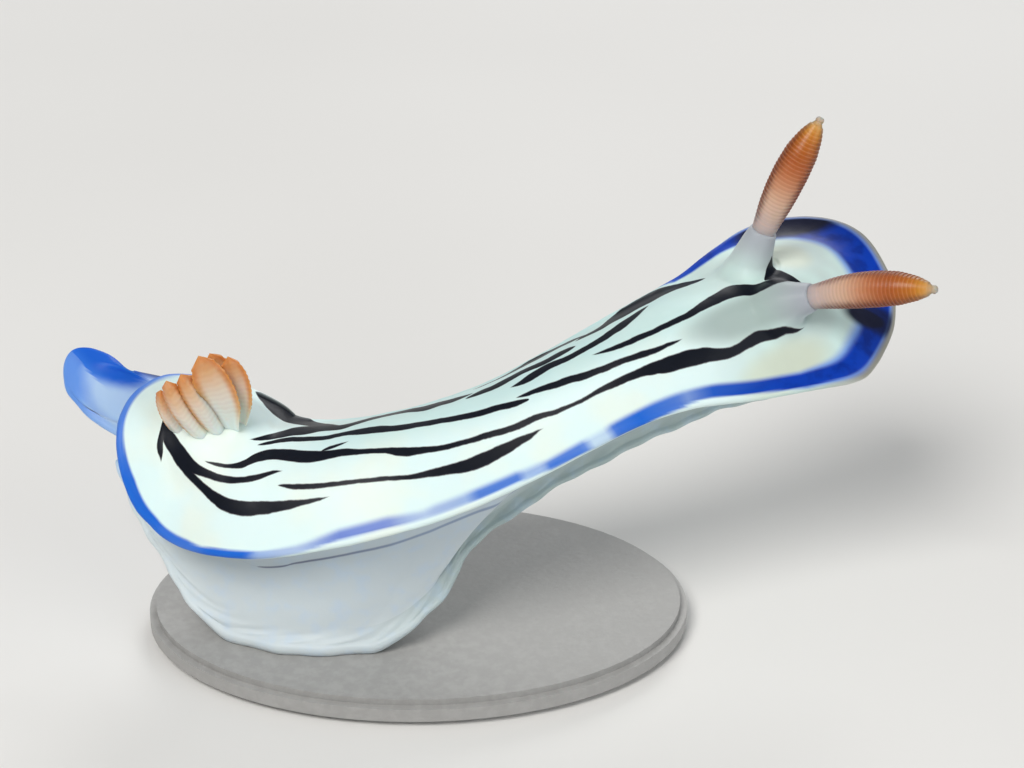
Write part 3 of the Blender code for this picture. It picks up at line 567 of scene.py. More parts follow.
FAR_BLUE = (
    (0.0, -0.4, 0.16, 0.1, 0.9), (1.0, -0.4, 0.12, 0.1, 0.9), (2.2, -0.4, 0.08, 0.1, 0.8),
    (3.6, -0.5, -0.1, 0.12, 0.8), (25.8, -0.5, -0.05, 0.14, 0.9), (26.8, -0.2, 0.28, 0.14, 1.0),
    (27.6, -0.1, 0.36, 0.12, 1.0), (28.5, -0.05, 0.42, 0.14, 1.0), (29.4, 0.0, 0.47, 0.14, 1.0),
    (30.2, 0.05, 0.6, 0.2, 1.0), (31.2, 0.12, 1.1, 0.4, 1.0), (32.2, 0.2, 1.65, 0.7, 1.0),
    (33.2, 0.26, 2.0, 0.8, 1.0), (34.3, 0.3, 2.15, 0.8, 1.0), (35.1, 0.3, 2.1, 0.8, 1.0),
    (35.5, 0.3, 2.05, 0.8, 1.0),
)
print("places on the near and on the far edge:", len(NEAR_BLUE), len(FAR_BLUE))

# %% [markdown]
# From the lists and the distance to the edge we work out how blue each point is. On the
# head the lists are smoothed, because their steps would show on the broad band there. The
# head's very edge is clear on the real animal: we note a grey rim outside the blue, and a
# fine bright line on it.

# %% How blue each point is
HEAD_FROM, HEAD_RISE = 28.0, 4.0               # place along the edge where the head starts, and its blend
SMOOTH_FROM, SMOOTH_RISE, SMOOTH_REPEATS = 29.0, 1.5, 200
OUTER_SOFT, HEAD_OUTER_SOFT = 0.12, 0.2        # width of the blue's outer edge, and what the head adds
RIM_SOFT = 0.3
LINE_FROM, LINE_RISE, LINE_PLACE, LINE_WIDTH = 29.0, 2.0, -0.2, 0.13


def near_or_far(column):
    near, far = [looked_up(table, edge_place, column) for table in (NEAR_BLUE, FAR_BLUE)]
    return np.where(edge_side > 0, near, far)


def smoothed(values, repeats):
    """Averages each value with its neighbours before and behind, this many times."""
    for repeat in range(repeats):
        middle = 0.25 * (values[..., :-2] + 2 * values[..., 1:-1] + values[..., 2:])
        values = np.concatenate([values[..., :1], middle, values[..., -1:]], axis=-1)
    return values


on_head = soft_step((edge_place - HEAD_FROM) / HEAD_RISE)
tables = [near_or_far(column) for column in (1, 2, 3, 4)]
head_columns = soft_step((mantle_places - SMOOTH_FROM) / SMOOTH_RISE)
blue_from, blue_to, blue_soft, blue_strength = [
    table + head_columns * (smoothed(table, SMOOTH_REPEATS) - table) for table in tables]
outer_soft = OUTER_SOFT + HEAD_OUTER_SOFT * on_head
blue = (soft_step((blue_to - margin) / blue_soft + 0.5) * soft_step((margin - blue_from) / outer_soft + 0.5)
        * blue_strength)
rim = soft_step((blue_from - margin) / RIM_SOFT + 0.8) * soft_step(margin / RIM_SOFT + 2.0) * on_head
edge_line = np.exp(-((margin - LINE_PLACE) / LINE_WIDTH) ** 2)
edge_line = edge_line * soft_step((edge_place - LINE_FROM) / LINE_RISE)
print("share of the skin that is blue:", round(float((blue > 0.5).mean()), 3))

# %% [markdown]
# Two nearly black marks lie on the head's blue, one on each side. They are soft ovals, and
# where some overlap, the darkest counts.

# %% Dark marks on the head's margin
# along and across the back, in mm; half length, half breadth, strength
HEAD_MARKS = (
    (33.7, 1.65, 1.1, 0.45, 1.0),
    (34.4, 1.6, 0.7, 0.6, 0.85),
    (32.6, -3.8, 1.0, 0.5, 1.0),
    (32.3, -4.3, 1.0, 0.4, 0.95),
    (31.6, -4.05, 0.9, 0.5, 1.0),
)
along_back = np.broadcast_to(mantle_places, (DOME_ROWS + 1, 2, COLUMNS + 1))
across_back = np.stack([np.stack([t * mantle_width, -t * mantle_width]) for t in shares])
dark = np.zeros(points.shape[:3])
for place, across_mm, half_length, half_breadth, strength in HEAD_MARKS:
    spot = ((along_back - place) / half_length) ** 2 + ((across_back - across_mm) / half_breadth) ** 2
    dark[:DOME_ROWS + 1] = np.maximum(dark[:DOME_ROWS + 1], strength * soft_step(1.9 - 1.1 * np.sqrt(spot)))
print("points in the dark marks:", int((dark > 0.5).sum()))

# %% [markdown]
# The tail is blue from its tip, in a band along each edge that narrows and fades towards
# the body. It is stronger on the far side, where a small dark spot lies at the edge.

# %% Colours of the tail
TAIL_REACH = ((0.0, 1.9), (1.5, 1.5), (3.0, 0.8), (5.0, 0.5), (8.0, 0.35))   # place, width of the blue
NEAR_REACH, NEAR_STRENGTH = 0.75, 0.8          # of the far side's width and strength
FAR_FADE, NEAR_FADE, FADE_LENGTH = 6.5, 4.6, 2.6
BAND_SOFT = 0.7
SPOT_PLACE, SPOT_LENGTH, SPOT_EDGE, SPOT_BREADTH = 4.3, 0.9, 0.2, 0.22

tail_blue = np.zeros(points.shape[:3])
tail_dark = np.zeros(points.shape[:3])
tail_far = tail_side < 0
reach_in = looked_up(TAIL_REACH, tail_place) * np.where(tail_far, 1.0, NEAR_REACH)
fade = soft_step((np.where(tail_far, FAR_FADE, NEAR_FADE) - tail_place) / FADE_LENGTH)
fade = fade * np.where(tail_far, 1.0, NEAR_STRENGTH)
tail_blue[foot_fold + 1:] = fade * soft_step((reach_in - tail_edge) / BAND_SOFT + 0.4)
dark_spot = ((tail_place - SPOT_PLACE) / SPOT_LENGTH) ** 2 + ((tail_edge - SPOT_EDGE) / SPOT_BREADTH) ** 2
tail_dark[foot_fold + 1:] = tail_far * np.exp(-dark_spot)
print("tail points that are blue:", int((tail_blue > 0.5).sum()))

# %% [markdown]
# With all positions and notes ready, we add the grid, give its points their places, and
# merge the points that meet along the back, along the sole and at both ends. Merging and
# turning all faces outwards are edit mode operators, as they would be by hand.

# %% A grid wrapped into a closed piece
MERGE_REACH, SMALLEST_EDGE = 0.0000002, 0.0000001   # in metres


def nothing_selected():
    if bpy.context.mode != "OBJECT":
        bpy.ops.object.mode_set(mode="OBJECT")
    bpy.ops.object.select_all(action="DESELECT")


def wrapped_grid(name, places, notes):
    """places is rows by columns by 3, in table millimetres; notes become attributes."""
    nothing_selected()
    row_count, column_count = places.shape[:2]
    bpy.ops.mesh.primitive_grid_add(x_subdivisions=column_count - 1, y_subdivisions=row_count - 1, size=1)
    piece = bpy.context.object
    piece.name = name
    mesh = piece.data
    mesh.name = name
    flat = np.zeros(len(mesh.vertices) * 3)
    mesh.vertices.foreach_get("co", flat)
    flat = flat.reshape(-1, 3)
    column = np.rint((flat[:, 0] + 0.5) * (column_count - 1)).astype(int)
    row = np.rint((flat[:, 1] + 0.5) * (row_count - 1)).astype(int)
    mesh.vertices.foreach_set("co", ((places[row, column] + MODEL_SHIFT) * MM).ravel())
    for key, values in notes.items():
        layer = mesh.attributes.new(key, "FLOAT", "POINT")
        layer.data.foreach_set("value", values[row, column].astype(np.float32))
    bpy.ops.object.mode_set(mode="EDIT")
    bpy.ops.mesh.select_all(action="SELECT")
    bpy.ops.mesh.remove_doubles(threshold=MERGE_REACH)
    bpy.ops.mesh.dissolve_degenerate(threshold=SMALLEST_EDGE)
    bpy.ops.mesh.select_all(action="SELECT")
    bpy.ops.mesh.normals_make_consistent(inside=False)
    bpy.ops.mesh.select_all(action="DESELECT")
    bpy.ops.mesh.select_non_manifold()
    bpy.ops.object.mode_set(mode="OBJECT")
    open_points = sum(v.select for v in mesh.vertices)
    bpy.ops.object.shade_smooth()
    print(name, "faces:", len(mesh.polygons), "open points:", open_points)
    return piece


print("points nearer than this are merged, mm:", round(MERGE_REACH / MM, 4))

# %% [markdown]
# The near rows run from the back down to the sole, and the far rows run on from the sole
# up to the back, so that together they close round the body. The notes go with them.

# %% The skin as one closed piece
def both_sides(values):
    """Near rows from back to sole, then far rows from sole to back."""
    return np.concatenate([values[:, 0], values[::-1, 1]])


def note(key):
    """What the rows say under this key, for both sides and all columns."""
    return np.stack([np.broadcast_to(row[key], (2, COLUMNS + 1)) for row in rows]).astype(float)


across = note("across")
across[:, 1] *= -1
notes = {"along": note("along"), "across": across, "top": note("top"), "flank": note("flank"),
         "foot": note("foot"), "blue": blue, "rim": rim, "edge_line": edge_line, "dark": dark,
         "tail_blue": tail_blue, "tail_dark": tail_dark, "veil": veil}
notes = {key: both_sides(values) for key, values in notes.items()}
skin = wrapped_grid("slug_skin", both_sides(points), notes)

# %% [markdown]
# Living skin is never quite even. A Displace modifier with a fine cloud pattern moves the
# surface in and out by a few hundredths of a millimetre, which is enough to break up the
# light. The modifier is applied, so the unevenness is in the mesh itself.

# %% Slight unevenness of the skin
UNEVEN_SIZE, UNEVEN_DEPTH = 1.6 * MM, 0.07 * MM
clouds = bpy.data.textures.new("skin_unevenness", "CLOUDS")
clouds.noise_scale = UNEVEN_SIZE
clouds.noise_depth = 2
bpy.ops.object.modifier_add(type="DISPLACE")
uneven = skin.modifiers[-1]
uneven.texture = clouds
uneven.texture_coords = "LOCAL"
uneven.mid_level = 0.5
uneven.strength = UNEVEN_DEPTH
bpy.ops.object.modifier_apply(modifier=uneven.name)
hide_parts("mantle_rear", "mantle_middle", "mantle_neck", "mantle_front", "body_middle",
            "body_neck", "head", "tail", "foot_middle", "foot_front")
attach(skin, "root")
print("skin size, mm:", [round(v * 1000, 2) for v in skin.dimensions])

# %% [markdown]
# A rhinophore is a club of stacked leaves on a short stalk, with a small bare knob at the
# tip. The leaves stand out at its sides and slant down to a pale bare band that faces the
# viewer. We wrap a grid round the feeler's curved axis: the radius follows the club,
# and a row of sharp ridges is added to it, strong at the sides and weak along the band.

# %% Shape of a rhinophore
LEAVES, LEAF_DEPTH, SLANT = 29, 0.042, 1.6     # how many, how deep, and how many steps each one slants
LEAVES_FROM, LEAVES_TO = 0.04, 0.94            # shares of the club's length
CLUB_RADII = ((0.0, 0.5), (0.1, 0.58), (0.2, 0.66), (0.35, 0.73), (0.52, 0.75), (0.7, 0.69), (0.85, 0.49),
              (0.95, 0.24))
LEAF_STRENGTHS = ((0.05, 0.75), (0.3, 1.0), (0.6, 0.9), (0.95, 0.45))
CLUB_TOP = 0.93                                # past this share the knob's neck begins
NECK_RADII = ((0.93, 0.25), (0.955, 0.17), (1.0, 0.0))
KNOB_PLACE, KNOB_REACH, KNOB_RADIUS = 0.972, 0.03, 0.18
LEAVES_FADE_IN, LEAVES_FADE_OUT = 0.06, 0.08   # shares of the club's length
LEAF_RISE, LEAF_FALL = 0.7, 0.22               # shares of a leaf, from its groove to its crest and back
BARE_DEPTH, BARE_EDGE = 0.1, 0.7               # leaf depth left on the band, and how far its edge is spread
SMOOTHED_TO, SMOOTHING = 0.9, 12               # share of the club, and rings averaged on both sides
STALK_FROM = 0.35                              # mm above the root, deep inside the collar
FLAT_SIDES = 0.08                              # how much of the radius is lost to the viewer's side
TOWARDS_VIEWER = np.array([0.0, -0.866, 0.5])


def tube_frame(path, front):
    """Front and side directions at each point of a path."""
    along = unit(np.gradient(path, axis=0))
    facing = unit(front - along * (along @ front)[:, None])
    return facing, np.cross(along, facing)


def averaged(values, reach):
    """Each value averaged with this many neighbours on both sides."""
    span = 2 * reach + 1
    return np.convolve(np.pad(values, reach, mode="edge"), np.ones(span) / span, mode="valid")


def club_radius(club):
    """Radius at these shares of the club's length: a smoothed club, a thin neck and a knob."""
    radius = looked_up(CLUB_RADII, club)
    radius = np.where(club < SMOOTHED_TO, averaged(radius, SMOOTHING), radius)
    knob = KNOB_RADIUS * np.sqrt(np.clip(1 - ((club - KNOB_PLACE) / KNOB_REACH) ** 2, 0, 1))
    radius = np.where(club > CLUB_TOP, np.maximum(knob, looked_up(NECK_RADII, club)), radius)
    radius[0] = radius[-1] = 0.0
    return radius


def rhinophore(name, feeler, around=80, lengthwise=420):
    share = np.linspace(STALK_FROM / feeler["length"], 1.0, lengthwise + 1)
    path = bent(feeler["root"], feeler["tip"], feeler["bend"], share)
    club_from = feeler["collar"] / feeler["length"]
    club = (share - club_from) / (1 - club_from)
    facing, sideways = tube_frame(path, TOWARDS_VIEWER)
    angle = np.linspace(0, 2 * math.pi, around + 1)
    turn = np.cos(angle)[:, None]
    leafy = (soft_step((club - LEAVES_FROM) / LEAVES_FADE_IN)
             * soft_step((LEAVES_TO - club) / LEAVES_FADE_OUT))
    phase = (club - LEAVES_FROM) / (LEAVES_TO - LEAVES_FROM) * LEAVES + SLANT * (turn + 1) / 2
    saw = phase - np.floor(phase)
    ridge = soft_step(saw / LEAF_RISE) * soft_step((1 - saw) / LEAF_FALL)
    bare = BARE_DEPTH + (1 - BARE_DEPTH) * soft_step((1 - np.abs(turn)) / BARE_EDGE)
    depth = LEAF_DEPTH * leafy * bare * looked_up(LEAF_STRENGTHS, club)
    full = club_radius(club) * (1 - FLAT_SIDES * soft_step(np.abs(turn)) * leafy) - depth * (1 - ridge)
    full = np.maximum(full, 0.0)
    places = path + full[..., None] * (turn[..., None] * facing + np.sin(angle)[:, None, None] * sideways)
    return wrapped_grid(name, places, {
        "length": np.ones_like(turn) * club, "front": turn * np.ones_like(club),
        "ridge": ridge * leafy + (1 - leafy)})


clubs = []
for name, feeler in feelers.items():
    piece = rhinophore("slug_" + name, feeler)
    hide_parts(name)
    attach(piece, "root")
    clubs.append(piece)

# %% [markdown]
# The gills are seven soft plumes in a ring. Each is a long blade with a rounded back, a
# pointed tip and fine leaflets down both edges, and they lean back over the tail. The
# plumes at the head's side of the ring are the longest and the broadest.
# One plume is a grid wrapped round its own arched axis, flattened to a blade, with
# notches between the leaflets.

# %% Shape of the gills
# foot ahead of the root and to the near side, length, breadth, lean ahead and to the near
# side, and 1 where the plume turns its back to the viewer or -1 for its hollow
PLUMES = (
    (-1.19, 0.79, 2.4, 0.85, -0.12, -0.25, 1), (-0.16, 0.58, 3.1, 0.95, -0.18, -0.17, 1),
    (0.32, 0.12, 3.1, 1.05, -0.18, -0.17, 1), (0.72, -0.4, 3.45, 1.6, -0.1, -0.25, -1),
    (0.86, -0.85, 2.9, 1.2, 0.1, -0.38, -1), (0.1, -1.2, 2.6, 1.3, -0.09, -0.27, -1),
    (-1.0, -0.6, 1.9, 1.1, -0.18, -0.17, -1),
)
CROWN_MIDDLE = (-0.2, -0.25)
PLUME_START, PLUME_INSET, PLUME_FOOT = 0.2, 0.1, 0.9   # mm above the root, in from the ring, up to the lean
PLUME_ARCH, FACING_SHARE = 0.25, 0.8
BLADE_RADII = ((0.0, 0.26), (0.15, 0.34), (0.35, 0.46), (0.58, 0.51), (0.78, 0.47), (0.92, 0.32), (1.0, 0.0))
BLADE_FLATNESS, BLADE_CUP = 0.4, 0.42
LEAFLETS, LEAFLET_DEPTH, RIB_HEIGHT = 16, 0.05, 0.035
gill_side = gill_directions[1]
gill_forward = unit(np.cross(gill_lean, gill_side))
if gill_forward @ gill_directions[0] < 0:
    gill_forward = -gill_forward
crown_middle = gill_root + gill_forward * CROWN_MIDDLE[0] + gill_side * CROWN_MIDDLE[1]


def plume(index, around=40, lengthwise=120):
    ahead, near, length, breadth, lean_ahead, lean_near, face = PLUMES[index]
    spot = gill_root + gill_forward * ahead + gill_side * near
    outward = unit(spot - crown_middle)
    start = spot + gill_directions[2] * PLUME_START - outward * PLUME_INSET
    foot = spot + gill_directions[2] * PLUME_FOOT
    tip = foot + unit(gill_lean + gill_forward * lean_ahead + gill_side * lean_near) * length
    broadside = outward * (1 - FACING_SHARE) + TOWARDS_VIEWER * FACING_SHARE * face
    share = np.linspace(0, 1, lengthwise + 1)
    path = bent(start, tip, outward * PLUME_ARCH, share)
    facing, sideways = tube_frame(path, unit(broadside))
    keys = np.array(BLADE_RADII)
    width = np.interp(share, keys[:, 0], keys[:, 1] * (1 + (breadth - 1) * soft_step(keys[:, 0] / 0.4)))
    width = np.where((share > 0.04) & (share < 0.9), averaged(width, 6), width)
    width[0] = 0.0
    angle = np.linspace(0, 2 * math.pi, around + 1)
    front = np.cos(angle)[:, None]
    edge = np.sin(angle)[:, None]
    leafy = soft_step((share - 0.16) / 0.15) * soft_step((1.02 - share) / 0.15)
    notch = 0.5 - 0.5 * np.cos(2 * math.pi * (share * LEAFLETS - 0.55 * np.abs(edge)))
    cut = LEAFLET_DEPTH * leafy * np.abs(edge) ** 1.5 * notch
    rib = RIB_HEIGHT * np.exp(-((edge / 0.25) ** 2)) * soft_step(share / 0.2)
    reach = width * edge * (1 - cut)
    thick = width * BLADE_FLATNESS / breadth * front * (1 - 0.2 * leafy * notch * (1 - front ** 2))
    thick = thick + rib * np.sign(front)
    thick = np.where(width > 0, thick, 0.0)
    cupped = BLADE_CUP * width * edge ** 2
    places = path + reach[..., None] * sideways + (thick - cupped)[..., None] * facing
    places[:, 0] = path[0]
    places[:, -1] = path[-1]
    ones = np.ones_like(edge)
    return wrapped_grid(f"plume_{index}", places, {
        "length": ones * share, "edge": np.abs(edge) * np.ones_like(share), "notch": leafy * notch * ones})


plumes = [plume(index) for index in range(len(PLUMES))]

# %% [markdown]
# The feet of the plumes meet in the soft middle of the crown. A flattened ball fills it,
# and then all of them are joined into one piece.

# %% The crown's soft middle, and all of the gills as one piece
CROWN_RADIUS, CROWN_FLATNESS, CROWN_HEIGHT = 0.6, 0.7, 0.4   # mm, share of the radius, mm over the root
nothing_selected()
bpy.ops.mesh.primitive_uv_sphere_add(segments=40, ring_count=24, radius=CROWN_RADIUS * MM)
middle = bpy.context.object
middle.name = "slug_gills"
bpy.ops.object.mode_set(mode="EDIT")
bpy.ops.mesh.select_all(action="SELECT")
bpy.ops.transform.resize(value=(1.0, 1.0, CROWN_FLATNESS))
bpy.ops.object.mode_set(mode="OBJECT")
upright = Vector(gill_directions[2]).to_track_quat("Z", "Y")
middle.data.transform(upright.to_matrix().to_4x4())
crown_place = crown_middle + gill_directions[2] * CROWN_HEIGHT + MODEL_SHIFT
middle.data.transform(Matrix.Translation(crown_place * MM))
bpy.ops.object.shade_smooth()
nothing_selected()
for blade in plumes:
    blade.select_set(True)
middle.select_set(True)
bpy.context.view_layer.objects.active = middle
bpy.ops.object.join()
gills = bpy.context.object
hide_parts("gills")
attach(gills, "root")
print("gills faces:", len(gills.data.polygons))

# %% [markdown]
# Two short soft feelers sit beside the mouth, under the front of the mantle. The camera
# does not see them, but the model is looked at from all sides.

# %% Oral tentacles
TENTACLE_SHARE, TENTACLE_LENGTH = 0.96194, 1.38     # share of the body's length, and mm
TENTACLE_RADII = ((0.0, 0.36), (0.2, 0.3), (0.6, 0.24), (0.85, 0.17), (0.95, 0.11), (1.0, 0.0))
FORWARD_LEAN, ROOT_DEPTH = 0.32, 0.15
WRINKLE_DEPTH, WRINKLE_PACE = 0.03, 40
tentacle_column = int(np.argmin(np.abs(SHARES - TENTACLE_SHARE)))


def oral_tentacle(name, side, around=32, lengthwise=60):
    level = flank_points(0.5)
    here = level[side, tentacle_column]
    down = unit(flank_points(0.6)[side, tentacle_column] - flank_points(0.4)[side, tentacle_column])
    back = unit(level[side, tentacle_column - 4] - here)
    outward = unit(np.cross(down, back))
    if outward @ (here - level[1 - side, tentacle_column]) < 0:
        outward = -outward
    way = unit(outward + BACK.at(BACK.length)[1][0] * FORWARD_LEAN)
    share = np.linspace(0, 1, lengthwise + 1)
    path = here - outward * ROOT_DEPTH + (way * TENTACLE_LENGTH) * share[:, None]
    radius = looked_up(TENTACLE_RADII, share)
    radius[0] = radius[-1] = 0.0
    radius *= 1 + WRINKLE_DEPTH * np.sin(share * WRINKLE_PACE)
    facing, sideways = tube_frame(path, down)
    angle = np.linspace(0, 2 * math.pi, around + 1)[:, None, None]
    places = path + radius[:, None] * (np.cos(angle) * facing + np.sin(angle) * sideways)
    return wrapped_grid(name, places, {"length": np.ones((around + 1, 1)) * share})


tentacles = []
for name, side in (("oral_tentacle_right", 0), ("oral_tentacle_left", 1)):
    piece = oral_tentacle("slug_" + name, side)
    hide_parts(name)
    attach(piece, "root")
    tentacles.append(piece)

# %% [markdown]
# Now the finishes. A finish is a tree of nodes, so we first make short helpers that add
# one node each and link what they are given. Numbers that are the same all over stay on
# the shader's own sockets, and only what changes over the surface is linked.

# %% Helpers for node finishes
def link_or_set(tree, socket, value):
    if isinstance(value, bpy.types.NodeSocket):
        tree.links.new(value, socket)
    elif isinstance(value, tuple) and len(value) == 3 and socket.type == "RGBA":
        socket.default_value = (*value, 1.0)
    else:
        socket.default_value = value


def new_finish(name, **sockets):
    material = bpy.data.materials.new(name)
    material.use_nodes = True
    shader = material.node_tree.nodes["Principled BSDF"]
    for key, value in sockets.items():
        shader.inputs[key.replace("_", " ")].default_value = value
    return material, material.node_tree


def attribute(tree, name):
    node = tree.nodes.new("ShaderNodeAttribute")
    node.attribute_name = name
    return node.outputs["Fac"]


def calc(tree, operation, *values):
    node = tree.nodes.new("ShaderNodeMath")
    node.operation = operation
    for socket, value in zip(node.inputs, values):
        link_or_set(tree, socket, value)
    return node.outputs[0]


def ranged(tree, value, low, high, to_low=0.0, to_high=1.0, smooth=True):
    node = tree.nodes.new("ShaderNodeMapRange")
    node.interpolation_type = "SMOOTHSTEP" if smooth else "LINEAR"
    for socket, number in zip(node.inputs, (value, low, high, to_low, to_high)):
        link_or_set(tree, socket, number)
    return node.outputs[0]


def mixed(tree, share, first, second):
    node = tree.nodes.new("ShaderNodeMix")
    node.data_type = "RGBA"
    node.clamp_factor = True
    link_or_set(tree, node.inputs[0], share)
    link_or_set(tree, node.inputs[6], first)
    link_or_set(tree, node.inputs[7], second)
    return node.outputs[2]


def clouded(tree, size_mm, detail=2.0, roughness=0.5):
    """Soft noise on the object's own coordinates, with patches of about this size."""
    coords = tree.nodes.new("ShaderNodeTexCoord")
    noise = tree.nodes.new("ShaderNodeTexNoise")
    tree.links.new(coords.outputs["Object"], noise.inputs["Vector"])
    noise.inputs["Scale"].default_value = 1.0 / (size_mm * MM)
    noise.inputs["Detail"].default_value = detail
    noise.inputs["Roughness"].default_value = roughness
    return noise.outputs["Fac"]


def colours(tree, value, stops):
    node = tree.nodes.new("ShaderNodeValToRGB")
    node.color_ramp.interpolation = "B_SPLINE"
    elements = node.color_ramp.elements
    while len(elements) < len(stops):
        elements.new(0.5)
    for element, (place, colour) in zip(elements, stops):
        element.position = place
        element.color = (*colour, 1.0)
    tree.links.new(value, node.inputs[0])
    return node.outputs[0]


def product(tree, first, second):
    return calc(tree, "MULTIPLY", first, second)


def complete(finish, colour, grain, depth_mm, strength, *pieces):
    """Links the colour and a bump from the grain to the shader, and gives the finish to the pieces."""
    tree = finish.node_tree
    shader = tree.nodes["Principled BSDF"]
    tree.links.new(colour, shader.inputs["Base Color"])
    bump = tree.nodes.new("ShaderNodeBump")
    bump.inputs["Strength"].default_value = strength
    bump.inputs["Distance"].default_value = depth_mm * MM
    tree.links.new(grain, bump.inputs["Height"])
    tree.links.new(bump.outputs[0], shader.inputs["Normal"])
    for piece in pieces:
        piece.data.materials.clear()
        piece.data.materials.append(finish)


print("finishes before ours:", len(bpy.data.materials))

# %% [markdown]
# The black stripes are painted by curves. Each stripe is a short list of places along the
# back, the distance across it as a share of the half width there, towards the viewer, and
# the stripe's half width. Two Float Curve nodes turn the place along the back into the
# stripe's middle and its half width, so its edge stays sharp however coarse the mesh is.

